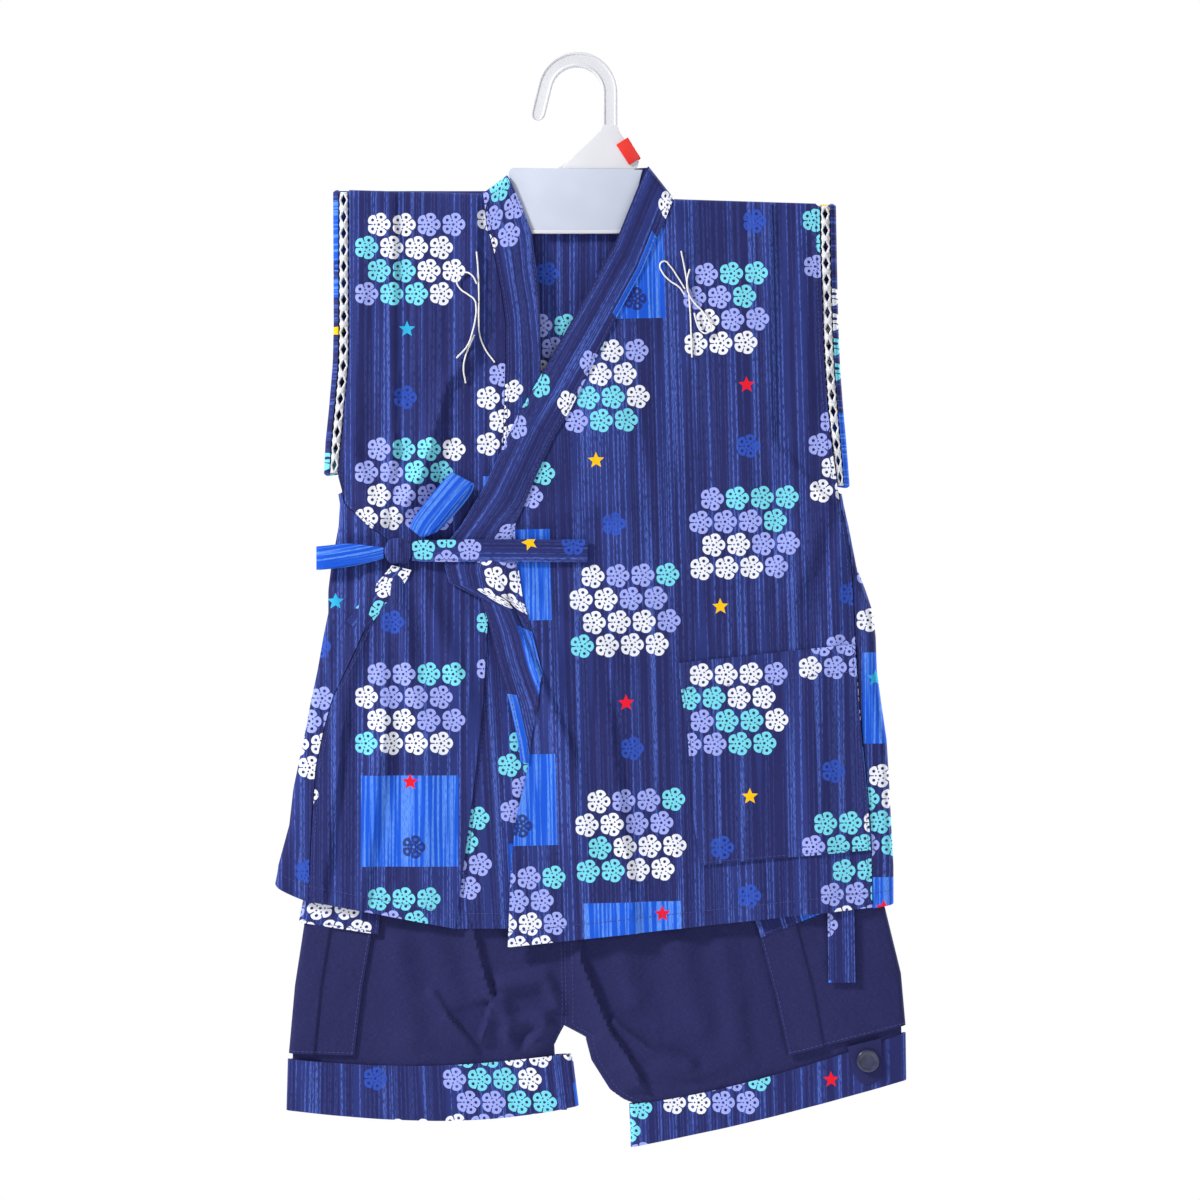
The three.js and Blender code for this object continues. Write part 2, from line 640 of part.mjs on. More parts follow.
const LEG_FOLDS = table("from_x from_z to_x to_z width height", [
  [-71, -565, -57, -612, 7, 1.1],
  [-94, -600, -62, -645, 7, 1.1],
  [-118, -572, -108, -640, 8, 0.9],
  [-4, -572, 20, -635, 8, 1.2],
  [26, -622, 74, -652, 8, 1.1],
  [84, -580, 104, -640, 9, 1.0],
]);
const LEG_MIDDLE = (SHORTS.front + SHORTS.back) / 2;
const LEG_ROUND = LEG_MIDDLE - SHORTS.front;

function addLegs() {
  const halves = [
    ["right", LEG_RIGHT, -1],
    ["left", LEG_LEFT, 1],
  ];
  const sides = [
    ["front", SHORTS.front, -1],
    ["back", SHORTS.back, 1],
  ];
  for (const [name, rows, outward] of halves) {
    const edges = rows.map((r) =>
      outward < 0
        ? { lx: r.out_x, lz: r.out_z, rx: r.in_x, rz: r.in_z }
        : { lx: r.in_x, lz: r.in_z, rx: r.out_x, rz: r.out_z },
    );
    for (const [side, level, turned] of sides) {
      const depth = (x, z) => {
        const outer = (along(rows, "out_x", z, "out_z") - x) * outward;
        const inner = z < -640 ? (x - along(rows, "in_x", z, "in_z")) * outward : LEG_ROUND;
        const open = Math.min(curl(Math.max(0, outer), LEG_ROUND), curl(Math.max(0, inner), LEG_ROUND));
        return lerp(LEG_MIDDLE + turned * 0.8, level + turned * relief(LEG_FOLDS, x, z), open);
      };
      const { [side]: across, down } = LEG_STEP;
      const options = { across, down, roundLeft: LEG_ROUND, roundRight: LEG_ROUND };
      add(`leg_${name}_${side}`, wall(panel(edges, depth, options), CLOTH), NAVY);
    }
  }
}

// A flattened ring from left to right and back. top(x) and foot(x) are its edges' heights.
function flatRing({ left, right, front, back, top, foot, step }) {
  const round = (back - front) / 2;
  const middle = (back + front) / 2;
  const [leftX, rightX] = [left, right];
  const width = rightX(0) - leftX(0);
  const columns = shares(width, step, round, round);
  const heights = [0, 0.5, 1];
  return heights.map((t) => {
    const [x0, x1] = [leftX(t), rightX(t)];
    const side = (level, u) => {
      const x = lerp(x0, x1, u);
      const open = curl(Math.min(x - x0, x1 - x), round);
      return V(x, lerp(middle, level, open), lerp(top(u), foot(u), t));
    };
    const ahead = columns.map((u) => side(front, u));
    const behind = columns.slice(1, -1).map((u) => side(back, u));
    return [...ahead, ...behind.reverse()];
  });
}

function addWaistband() {
  const ring = flatRing({
    left: () => -113,
    right: () => 123,
    front: SHORTS.front,
    back: SHORTS.back,
    top: () => -372,
    foot: () => -397,
    step: WAIST_STEP,
  });
  add("waistband", wall(ring, CLOTH, true), NAVY);
}

function addCuffs() {
  const front = SHORTS.front - POCKET_OUT;
  const back = SHORTS.back + POCKET_OUT;
  const right = flatRing({
    left: (t) => lerp(-190.5, -191.4, t),
    right: (t) => lerp(-3.5, 0.7, t),
    front,
    back,
    top: (u) => -654.4 - 5 * Math.sin(Math.PI * Math.min(1, u * 1.05)) + 3 * u * u,
    foot: (u) => -688 - 7 * Math.sin(Math.PI * clamp(u * 0.95)) + 4 * u ** 6,
    step: RING_STEP,
  });
  add("cuff_right", wall(right, CLOTH, true), PRINT);
  const left = flatRing({
    left: (t) => lerp(35, 36, t),
    right: (t) => lerp(216.6, 217, t),
    front,
    back,
    top: (u) => lerp(-687, -637, u) - 4 * Math.sin(Math.PI * u) + 3 * (1 - u) ** 8,
    foot: (u) => lerp(-712.5, -668, u) - 2.5 * Math.sin(Math.PI * u),
    step: RING_STEP,
  });
  add("cuff_left", wall(left, CLOTH, true), PRINT);
}

// A piece that goes round the outside of a leg, from its front edge to its back edge.
function roundLeg(rows, outward, out) {
  const front = SHORTS.front - out;
  const back = SHORTS.back + out;
  const round = (back - front) / 2;
  const middle = (back + front) / 2;
  return rows.map((r) => {
    const width = (r.side_x - r.edge_x) * outward;
    const inner = [1, 0.66, 0.36, (round * 1.02) / width, (round * 0.4) / width, (round * 0.1) / width];
    const face = (level, share) => {
      const x = r.side_x - outward * width * share;
      return V(x, lerp(middle, level, curl(width * share, round)), lerp(r.side_z, r.edge_z, share));
    };
    const ahead = inner.map((share) => face(front, share));
    const behind = inner.map((share) => face(back, share)).reverse();
    return [...ahead, face(front, 0), ...behind];
  });
}

function addCargoPockets() {
  const columns = "edge_x edge_z side_x side_z";
  const rightPocket = table(columns, [
    [-131, -545, -176.5, -545],
    [-136, -575, -181.5, -578],
    [-141.5, -606, -185.8, -606],
    [-147, -652, -189.8, -650.5],
  ]);
  const leftPocket = table(columns, [
    [114, -552, 194.5, -522],
    [121, -575, 203.0, -555],
    [131, -613, 213.5, -598],
    [139.5, -652, 216.5, -632],
  ]);
  add("cargo_pocket_right", wall(roundLeg(rightPocket, -1, POCKET_OUT), CLOTH), NAVY);
  add("cargo_pocket_left", wall(roundLeg(leftPocket, 1, POCKET_OUT), CLOTH), NAVY);
  const rightFlap = table(columns, [
    [-129, -538, -175.5, -529],
    [-130, -556, -179.8, -546],
    [-131, -572, -183.2, -564],
  ]);
  const leftFlap = table(columns, [
    [112, -542, 192.0, -510],
    [116, -558, 198.4, -526],
    [121.5, -574, 203.8, -541],
  ]);
  add("pocket_flap_right", wall(roundLeg(rightFlap, -1, FLAP_OUT), THIN_CLOTH), PRINT);
  add("pocket_flap_left", wall(roundLeg(leftFlap, 1, FLAP_OUT), THIN_CLOTH), PRINT);
}

function plate(shape, front, back, bevel, curveSegments = 6) {
  const geometry = new THREE.ExtrudeGeometry(shape, {
    depth: back - front - 2 * bevel,
    bevelEnabled: bevel > 0,
    bevelThickness: bevel,
    bevelSize: bevel,
    bevelOffset: -bevel,
    bevelSegments: 1,
    curveSegments,
  });
  geometry.rotateX(Math.PI / 2);
  geometry.translate(0, back - bevel, 0);
  return geometry;
}

function polygon(points) {
  return new THREE.Shape(points.map(([x, z]) => new THREE.Vector2(x, z)));
}

function addTabAndButton() {
  const tab = new THREE.Shape();
  tab.moveTo(178.4, -646);
  tab.lineTo(182.4, -662.5);
  tab.quadraticCurveTo(185, -671.5, 192.5, -671);
  tab.quadraticCurveTo(200.5, -670, 200.8, -662);
  tab.lineTo(200.6, -640.5);
  const cuffFace = SHORTS.front - POCKET_OUT - CLOTH / 2;
  const tabFace = cuffFace - GAP - CLOTH;
  add("cuff_tab", plate(tab, tabFace, cuffFace - GAP, 0), NAVY);

  const buttonBack = tabFace - GAP;
  const { radius, thick } = BUTTON;
  const profile = [
    [0, 0],
    [radius - 1.4, 0],
    [radius, 1.1],
    [radius, thick - 0.7],
    [radius - 0.7, thick],
    [radius - 1.6, thick],
    [radius - 2.4, thick - 0.8],
    [0, thick - 0.9],
  ].map(([r, y]) => new THREE.Vector2(r, y));
  const disc = new THREE.LatheGeometry(profile, 24);
  let solid = solidFrom(disc);
  for (const [dx, dz] of [[1, 1], [1, -1], [-1, 1], [-1, -1]]) {
    const hole = new THREE.CylinderGeometry(BUTTON.hole, BUTTON.hole, 4 * thick, 8);
    hole.translate(dx * BUTTON.pitch, thick / 2, dz * BUTTON.pitch);
    solid = solid.subtract(solidFrom(hole));
  }
  const button = geometryFrom(solid);
  button.rotateX(Math.PI);
  button.translate(BUTTON.x, buttonBack, BUTTON.z);
  add("cuff_button", button, BUTTON_NAVY);
}

function solidFrom(geometry) {
  const bare = geometry.clone();
  bare.deleteAttribute("normal");
  bare.deleteAttribute("uv");
  const merged = mergeVertices(bare, 1e-4);
  const vertProperties = merged.attributes.position.array;
  const triVerts = new Uint32Array(merged.index.array);
  return new wasm.Manifold(new wasm.Mesh({ numProp: 3, vertProperties, triVerts }));
}

function geometryFrom(solid) {
  const mesh = solid.getMesh();
  const geometry = new THREE.BufferGeometry();
  geometry.setAttribute("position", new THREE.BufferAttribute(mesh.vertProperties, 3));
  geometry.setIndex(new THREE.BufferAttribute(mesh.triVerts, 1));
  geometry.computeVertexNormals();
  return geometry;
}

// ---- Hanger ----

function addHanger() {
  const { centre_z: cz, inner, outer, arm } = HOOK;
  const half = (outer - inner) / 2;
  const turn = THREE.MathUtils.degToRad(HOOK.turn);
  const tipX = (inner + half) * Math.cos(turn) - arm * Math.sin(turn);
  const tipZ = cz + (inner + half) * Math.sin(turn) + arm * Math.cos(turn);
  const hook = new THREE.Shape();
  hook.moveTo(NECK_FOOT.left, NECK_FOOT.z);
  hook.lineTo(inner, STEM_FOOT_Z);
  hook.absarc(0, cz, inner, 0, turn, false);
  hook.absarc(tipX, tipZ, half, turn - Math.PI, turn - 2 * Math.PI, true);
  hook.absarc(0, cz, outer, turn, 0, true);
  hook.lineTo(outer, STEM_FOOT_Z);
  hook.lineTo(NECK_FOOT.right, NECK_FOOT.z);
  add("hanger_hook", plate(hook, HOOK.y, HOOK.y + HOOK.thick, 0.6, 10), PLASTIC);

  const arms = polygon([
    [NECK_FOOT.left - 0.2, NECK_FOOT.z - GAP],
    [-26, -76],
    [-34, -92],
    [-62, -92],
    [-132, -87],
    [-139, -90],
    [-136, -95],
    [-62, -100],
    [-20, -103],
    [24, -103],
    [62, -104],
    [142, -102],
    [147, -98],
    [142, -94],
    [62, -98],
    [36, -97],
    [34, -74],
    [NECK_FOOT.right - 0.2, NECK_FOOT.z - GAP],
  ]);
  add("hanger_arms", plate(arms, -1, 0.7, 0), PLASTIC);

  const board = new THREE.Shape();
  board.moveTo(-35, -110);
  board.lineTo(-44.9, -70.5);
  board.quadraticCurveTo(-45.3, -66.8, -41.5, -66.4);
  board.lineTo(43.2, -67.8);
  board.lineTo(33, -110);
  add("hanger_board", plate(board, -2.2, -1.3, 0, 4), BOARD);

  // The size chip clips over the right slope of the hanger's neck.
  const chip = new THREE.Shape();
  chip.moveTo(-CHIP.reach, CHIP.front);
  chip.lineTo(CHIP.inside, CHIP.front);
  chip.lineTo(CHIP.inside, CHIP.back);
  chip.lineTo(-CHIP.reach, CHIP.back);
  chip.lineTo(-CHIP.reach, CHIP.back + CHIP.wall);
  chip.lineTo(CHIP.outside, CHIP.back + CHIP.wall);
  chip.lineTo(CHIP.outside, CHIP.front - CHIP.wall);
  chip.lineTo(-CHIP.reach, CHIP.front - CHIP.wall);
  const clip = new THREE.ExtrudeGeometry(chip, { depth: CHIP.length, bevelEnabled: false });
  const downSlope = V(NECK_FOOT.right - outer, 0, NECK_FOOT.z - STEM_FOOT_Z).normalize();
  const outOfSlope = V(-downSlope.z, 0, downSlope.x);
  const upSlope = downSlope.clone().negate();
  clip.applyMatrix4(new THREE.Matrix4().makeBasis(outOfSlope, V(0, 1, 0), upSlope));
  clip.translate(NECK_FOOT.right + upSlope.x * 1.2, 0, NECK_FOOT.z + upSlope.z * 1.2);
  add("size_chip", clip, RED);
}

// ---- Loose threads that hold the jacket on the hanger ----

function addThreads() {
  const columns = "x z out";
  const routes = {
    thread_right_long: table(columns, [
      [-66.0, -122.4, 0.9],
      [-65.2, -131, 0.9],
      [-64.7, -141, 0.9],
      [-64.5, -154, 0.9],
      [-64.6, -166, 0.9],
      [-64.0, -177, 0.9],
      [-60.5, -186, 0.9],
      [-54.1, -195, 0.9],
    ]),
    thread_right_loop: table(columns, [
      [-65.8, -143.6, 2.2],
      [-68.8, -138.2, 2.2],
      [-73.4, -136.0, 2.2],
      [-77.8, -138.2, 2.2],
      [-79.0, -142.4, 2.2],
      [-76.6, -146.9, 2.2],
      [-71.3, -150.8, 2.2],
      [-67.3, -154.2, 2.2],
      [-66.2, -159, 2.2],
      [-66.6, -166, 2.2],
      [-68.6, -175, 2.2],
      [-71.8, -184, 2.2],
      [-79.2, -192.4, 2.2],
    ]),
    thread_right_short: table(columns, [
      [-67.5, -177.0, 0.9],
      [-70.8, -184.5, 0.9],
      [-73.4, -191.5, 0.9],
      [-74.6, -199, 0.9],
      [-73.3, -208.6, 0.9],
    ]),
    thread_left_long: table(columns, [
      [68.6, -121.8, 0.9],
      [71.3, -135, 0.9],
      [73.3, -147.5, 0.9],
      [74.6, -161.4, 0.9],
      [75.2, -174.6, 0.9],
      [75.9, -191.7, 0.9],
    ]),
    thread_left_loop: table(columns, [
      [74.2, -133.7, 2.2],
      [72.6, -141, 2.2],
      [73.2, -148.5, 2.2],
      [76.6, -155.0, 2.2],
      [82.2, -161.0, 2.2],
      [86.9, -167.6, 2.2],
      [88.0, -172.4, 2.2],
      [85.4, -175.9, 2.2],
      [81.6, -174.4, 2.2],
      [79.0, -169.5, 2.2],
      [77.2, -162.5, 2.2],
    ]),
    thread_left_upper: table(columns, [
      [71.2, -146.6, 0.9],
      [66.5, -139, 0.9],
      [61.4, -131.6, 0.9],
      [57.6, -128.4, 0.9],
      [54.8, -130.4, 0.9],
      [56.2, -135.6, 0.9],
      [60.9, -141.0, 1.2],
      [67.6, -145.8, 2.2],
      [70.8, -150.4, 2.2],
    ]),
  };
  for (const [name, points] of Object.entries(routes)) {
    const path = points.map(({ x, z, out }) => {
      const cloth = x > 0 ? overDepth(x, z) : underDepth(x, z);
      return V(x, cloth - CLOTH / 2 - out, z);
    });
    const curve = new THREE.CatmullRomCurve3(path, false, "centripetal");
    const sides = 8;
    const ring = Array.from({ length: sides }, (_, k) => {
      const angle = (2 * Math.PI * (k + 0.5)) / sides;
      return new THREE.Vector2(Math.cos(angle), Math.sin(angle)).multiplyScalar(THREAD / 2);
    });
    const steps = Math.round(curve.getLength() / (4.5 * THREAD));
    const options = { steps, extrudePath: curve, bevelEnabled: false };
    add(name, new THREE.ExtrudeGeometry(new THREE.Shape(ring), options), COTTON);
  }
}

addHanger();
addFronts();
addCollar();
addBack();
addSleeves();
addPatchPocket();
addTies();
addLegs();
addWaistband();
addCuffs();
addCargoPockets();
addTabAndButton();
addThreads();

export default group;
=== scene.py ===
"""A child's jinbei set on its plastic hanger: the looks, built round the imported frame.

Tables are in millimetres, in the row's frame: +Z up, the front facing -Y, the wearer's right on -X.
Meshes are made in metres. Each cloth piece is a thin wall on the form of its solid, with a UV map in
metres of cut cloth, so that the print lies on it as it was cut.
"""
import math

import bmesh
import bpy
import numpy as np
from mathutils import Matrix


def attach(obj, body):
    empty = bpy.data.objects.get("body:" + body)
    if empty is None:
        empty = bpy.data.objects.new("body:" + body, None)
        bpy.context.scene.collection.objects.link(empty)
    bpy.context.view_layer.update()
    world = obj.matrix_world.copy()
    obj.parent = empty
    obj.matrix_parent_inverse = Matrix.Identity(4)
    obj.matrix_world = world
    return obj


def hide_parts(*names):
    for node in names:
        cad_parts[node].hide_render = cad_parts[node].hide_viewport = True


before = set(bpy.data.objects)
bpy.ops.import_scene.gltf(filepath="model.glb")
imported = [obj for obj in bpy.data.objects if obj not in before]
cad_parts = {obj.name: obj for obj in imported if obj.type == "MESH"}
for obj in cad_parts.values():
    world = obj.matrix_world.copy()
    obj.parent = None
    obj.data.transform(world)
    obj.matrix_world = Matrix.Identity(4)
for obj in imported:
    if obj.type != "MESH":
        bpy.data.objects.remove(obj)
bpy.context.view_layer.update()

MM = 0.001

# ---- Sizes that the solids share ----

CLOTH = 1.0
THIN_CLOTH = 0.9
BAND = 1.9
GAP = 0.3
SEAM = 0.06
CHEST = {"front": -3.3, "back": 1.8, "down_to": -295}
HIP = {"front": -5.5, "back": 7.7, "from": -372}
OVERLAP_LIFT = 2.4
OVERLAP_X = {"full": 20, "none": 70}
SHORTS = {"front": 0, "back": 3.4}
POCKET_OUT = 1.5
FLAP_OUT = 2.9
SLEEVE_INNER = 3.3
SLEEVE_OUTER = 5.3
SHOULDER_ROUND = 3
SIDE_ROUND = 5
ARMHOLE_END = -280
SIDE_SEAM = 0.6
STEP = 2.5


def lerp(a, b, t):
    return a + (b - a) * t


def smooth(start, end, value):
    t = np.clip((value - start) / (end - start), 0, 1)
    return t * t * (3 - 2 * t)


def curl(distance, radius):
    """How far a wall has come round a folded edge, from 0 on the edge to 1 past the rounding."""
    left = 1 - np.clip(distance / radius, 0, 1)
    return np.sqrt(1 - left * left)


def table(columns, rows):
    return [dict(zip(columns.split(), row)) for row in rows]


def along(rows, key, z, height="z"):
    """The value of a column at a height, between rows that run downwards."""
    return np.interp(-np.asarray(z, float), [-row[height] for row in rows], [row[key] for row in rows])


# ---- Outlines ----

UNDER = table("side_x side_z seam_x band_x seam_z neck_x neck_z", [
    [-150.2, -81.5, -62.0, -61.6, -84, -45.5, -72],
    [-150.0, -104, -59.8, -59.4, -104, -36.5, -92],
    [-150.0, -122, -55.0, -54.6, -122, -29.7, -110],
    [-149.8, -148, -50.0, -49.6, -148, -27.5, -128],
    [-149.8, -170, -47.0, -46.6, -170, -24.5, -152],
    [-150.0, -195, -47.2, -46.8, -195, -24.0, -185],
    [-152.0, -215, -47.8, -47.4, -215, -23.8, -210],
    [-155.0, -246, -48.8, -48.4, -246, -24.0, -246],
    [-157.3, -270, -50.5, -44.5, -270, -20.0, -270],
    [-152.5, -288, -52.0, -42.5, -288, -17.0, -288],
    [-137.0, -303, -53.0, -39.0, -303, -14.0, -303],
    [-125.0, -311, -54.0, -36.5, -311, -11.5, -311],
    [-124.0, -330, -56.0, -31.0, -330, -6.0, -330],
    [-131.0, -350, -57.5, -25.0, -350, 0.0, -350],
    [-141.0, -375, -59.4, -17.0, -375, 7.0, -375],
    [-150.0, -395, -60.4, -10.5, -395, 12.5, -395],
    [-160.0, -415, -61.5, -4.0, -415, 17.0, -415],
    [-166.0, -436, -63.5, 3.0, -436, 21.0, -436],
    [-171.5, -462, -66.5, 9.0, -462, 21.0, -462],
    [-174.0, -495, -70.5, 13.0, -495, 21.0, -495],
    [-175.5, -525, -74.5, 16.0, -525, 21.0, -525],
    [-176.0, -550, -80.0, 18.0, -568, 21.0, -568],
])

OVER = table("side_x side_z seam_x seam_z neck_x neck_z", [
    [160.0, -90.5, 63.5, -87.5, 46.5, -66],
    [160.0, -106, 58.0, -102, 40.0, -80],
    [160.7, -136, 42.0, -136, 25.5, -116],
    [161.5, -160, 29.0, -160, 12.5, -140],
    [162.5, -190, 14.0, -190, -5.5, -171.5],
    [165.2, -226, -4.0, -226, -25.0, -206],
    [167.5, -247, -16.5, -247, -38.5, -229],
    [171.3, -275, -29.0, -275, -52.0, -258],
    [173.0, -290, -35.0, -290, -60.0, -275],
    [176.5, -303, -41.0, -303, -75.5, -301.5],
    [179.0, -318, -40.0, -318, -84.0, -312],
    [180.5, -330, -38.0, -335, -87.0, -328.5],
    [181.7, -348, -35.0, -352, -84.0, -340],
    [182.3, -360, -31.5, -365, -63.0, -350],
    [183.0, -376, -28.0, -378, -57.4, -368],
    [184.3, -398, -23.0, -398, -52.5, -389.5],
    [186.0, -420, -25.3, -420, -44.0, -419],
    [188.0, -444, -30.5, -444, -38.5, -444.5],
    [189.5, -460, -31.7, -459, -36.5, -458],
    [193.0, -500, -40.5, -498, 0, 0],
    [194.0, -527, -43.5, -530, 0, 0],
    [194.5, -554, -45.5, -580, 0, 0],
])

OUTLINE = table("z left right", [
    [-280, -157.5, 174.0],
    [-288, -155.9, 175.3],
    [-303, -156.8, 178.7],
    [-330, -161.8, 184.0],
    [-345, -163.7, 190.0],
    [-360, -163.7, 195.0],
    [-376, -167.0, 196.8],
    [-398, -170.8, 197.5],
    [-420, -175.5, 200.5],
    [-444, -180.0, 204.0],
    [-476, -186.8, 205.9],
    [-500, -189.5, 207.0],
    [-527, -196.8, 208.5],
    [-560, -200.0, 208.6],
])
HEM = {"left_seam": -550.5, "left": -539, "right": -551.5, "right_seam": -554.5, "sag": 5}
BACK_NECK = {"half": 61, "centre": 1, "drop": 9, "fade": 50}

ARM_RIGHT = table("z near_x far_x fold_x cuff_x", [
    [-82.5, -150.8, -156.8, -160.6, -58],
    [-122, -150.6, -156.8, -160.4, -56],
    [-170, -150.4, -156.7, -160.2, -55],
    [-195, -150.6, -157.0, -160.8, -55],
    [-226, -153.4, -159.6, -163.4, -57],
    [-247, -155.7, -161.6, -165.6, -58],
    [-268, -157.7, -162.8, -166.6, -60],
])
ARM_LEFT = table("z near_x far_x fold_x cuff_x", [
    [-91.5, 160.6, 166.6, 170.6, 70],
    [-128, 161.1, 167.2, 171.2, 68],
    [-172, 162.5, 168.5, 172.2, 67],
    [-200, 163.9, 169.8, 173.4, 67],
    [-226, 165.9, 171.8, 175.4, 68],
    [-247, 168.2, 173.6, 177.4, 69],
    [-276, 172.0, 176.0, 179.6, 71],
])

LEG_RIGHT = table("out_x out_z in_x in_z", [
    [-112, -397.6, -10.4, -397.6],
    [-118, -440, -10.3, -440],
    [-150, -500, -10.2, -500],
    [-175.6, -567, -10.2, -567],
    [-181.5, -603, -9.2, -603],
    [-185.5, -627, -9.4, -632.5],
    [-187, -645, -15.5, -645],
    [-187.4, -660, -14.5, -662],
    [-188, -684, -7, -688],
])
LEG_LEFT = table("out_x out_z in_x in_z", [
    [122, -397.6, -9.6, -397.6],
    [130, -440, -9.6, -440],
    [165, -500, -9.6, -500],
    [197.5, -567, -9.6, -567],
    [208, -603, -8.6, -603],
    [213.5, -627, -8.6, -632],
    [213.8, -640, 5.9, -639.5],
    [213.6, -646, 10, -655],
    [213.2, -651, 22, -674],
    [213.0, -653, 31, -680.5],
    [213.0, -654.5, 38.6, -683.4],
    [213.5, -664, 40, -700],
])

# ---- Creases: each is a line with a soft ridge, or, where knife is 1, a fold that drops on one side ----

JACKET_CREASES = table("x0 z0 x1 z1 width height knife", [
    [-119.5, -82, -119.5, -246, -10, 1.5, 1],
    [-119.5, -246, -126, -302, -10, 1.6, 1],
    [-65, -86, -65, -189, -11, 1.9, 1],
    [-65, -189, -84, -209, -11, 1.9, 1],
    [-84, -209, -100, -268, -11, 2.1, 1],
    [-100, -268, -118, -300, -11, 2.2, 1],
    [128, -90, 129, -246, -10, 1.5, 1],
    [129, -246, 166, -286, -10, 1.3, 1],
    [63, -88, 72, -126, 8, 1.2, 0],
    [-119, -332, -106, -424, 6, 2.0, 0],
    [-134, -330, -150, -404, 6, 1.8, 0],
    [-104, -334, -72, -418, 7, 1.8, 0],
    [-127, -345, -131, -470, 7, 1.4, 0],
    [-151, -420, -166, -546, -10, 2.0, 1],
    [-124, -430, -139, -552, -12, 1.8, 1],
    [-96, -410, -104, -556, 10, 1.1, 0],
    [-131, -306, -149, -246, 6, 1.7, 0],
    [-112, -300, -90, -232, 6, 1.3, 0],
    [-140, -310, -150, -288, 5, 1.2, 0],
    [-62, -304, 34, -286, 8, 1.3, 0],
    [-58, -327, 26, -392, 7, 1.7, 0],
    [-50, -342, -2, -452, -9, 2.0, 1],
    [-24, -380, 6, -520, 9, 1.3, 0],
    [30, -306, 112, -338, 11, 1.0, 0],
    [22, -420, 40, -572, -13, 1.8, 1],
    [104, -140, 112, -300, 15, 0.9, 0],
    [168, -284, 142, -352, 7, 1.7, 0],
    [174, -298, 168, -384, 6, 1.5, 0],
    [152, -300, 118, -352, 8, 0.9, 0],
    [62, -500, 70, -572, 9, 1.2, 0],
    [150, -400, 162, -560, 12, 1.2, 0],
    [118, -530, 124, -564, 8, 0.9, 0],
    [4, -186, 60, -292, 16, 0.8, 0],
    [-141, -110, -146, -244, 6, 1.0, 0],
    [-94, -104, -98, -204, 9, 0.7, 0],
    [146, -110, 152, -240, 6, 0.8, 0],
])
BACK_CREASES = table("x0 z0 x1 z1 width height knife", [
    [-30, -160, -44, -420, 14, 1.2, 0],
    [34, -150, 46, -400, 14, 1.2, 0],
    [-8, -260, -2, -540, 12, 1.6, 1],
    [-96, -300, -120, -540, 12, 1.8, 1],
    [92, -290, 116, -545, -12, 1.8, 1],
    [-150, -300, -172, -530, 10, 1.4, 0],
    [152, -300, 182, -530, 10, 1.4, 0],
    [-150, -292, -60, -330, 9, 1.2, 0],
    [160, -296, 76, -332, 9, 1.2, 0],
    [50, -380, 66, -545, 9, 1.0, 0],
    [-60, -400, -70, -545, 9, 1.0, 0],
])
LEG_CREASES = table("x0 z0 x1 z1 width height knife", [
    [-70.6, -558, -60.7, -596, -9, 1.8, 1],
    [-60.7, -596, -55.4, -614, -9, 2.2, 1],
    [-55.4, -614, -64, -642, 9, 2.0, 1],
    [-94.4, -608, -84.5, -625, -7, 1.2, 1],
    [-84.5, -625, -66.7, -647, -8, 2.0, 1],
    [-66.7, -647, -52.8, -659, -8, 2.0, 1],
    [-52, -606, -18, -600, 6, 1.8, 0],
    [-18, -604, -13, -622, 5, 1.4, 0],
    [-46, -632, -20, -627, 5, 1.7, 0],
    [-50, -612, -46, -630, 5, 1.2, 0],
    [-46.9, -634, -38.9, -657, 4, 1.8, 0],
    [-17.5, -628, -35.6, -657, 5, 1.8, 0],
    [-28, -640, -40, -658, 4, 1.2, 0],
    [-118, -575, -108, -650, 10, 0.9, 0],
    [-100, -560, -78, -620, 9, 0.8, 0],
    [-1.5, -560, 4, -590, -8, 1.8, 1],
    [4, -590, 21.8, -634, -8, 2.6, 1],
    [21.8, -634, 36, -655, -8, 2.4, 1],
    [36, -655, 44, -672, -8, 2.2, 1],
    [23.8, -628, 49.5, -648, -8, 1.8, 1],
    [49.5, -648, 78, -655, -8, 1.8, 1],
    [26, -570, 40, -620, 9, 1.0, 0],
    [64, -575, 84, -640, 11, 1.0, 0],
    [96, -580, 108, -650, 9, 0.9, 0],
    [54, -660, 100, -664, 6, 1.0, 0],
])
WAVES = table("x z phase height", [
    [0.043, 0.021, 0.4, 0.22],
    [-0.031, 0.052, 1.9, 0.20],
    [0.083, 0.017, 2.6, 0.13],
    [0.061, -0.094, 4.1, 0.10],
    [0.147, 0.058, 0.9, 0.06],
    [-0.118, 0.139, 3.3, 0.05],
])


def creases(rows, x, z):
    total = np.zeros(np.broadcast(x, z).shape)
    for row in rows:
        run_x, run_z = row["x1"] - row["x0"], row["z1"] - row["z0"]
        long = math.hypot(run_x, run_z)
        t = ((x - row["x0"]) * run_x + (z - row["z0"]) * run_z) / long**2
        off = ((x - row["x0"]) * run_z - (z - row["z0"]) * run_x) / long
        ends = smooth(-0.16, 0.12, t) * smooth(1.16, 0.88, t)
        if row["knife"]:
            side = -off * np.sign(row["width"])
            shape = smooth(-1.7, 1.1, side) * np.exp(-np.maximum(side, 0) / abs(row["width"]))
        else:
            shape = np.exp(-((off / row["width"]) ** 2))
        total = total + row["height"] * ends * shape
    return total


def waves(x, z):
    warp_x = x + 6 * np.sin(0.045 * z + 0.3)
    warp_z = z + 7 * np.sin(0.038 * x + 1.1)
    return sum(w["height"] * np.sin(w["x"] * warp_x + w["z"] * warp_z + w["phase"]) for w in WAVES)


# ---- Depths ----

def lowering(z):
    return smooth(CHEST["down_to"], HIP["from"], z)


def front_level(z):
    return lerp(CHEST["front"], HIP["front"], lowering(z))


def back_level(z):
    return lerp(CHEST["back"], HIP["back"], lowering(z))


def middle_level(z):
    return (front_level(z) + back_level(z)) / 2


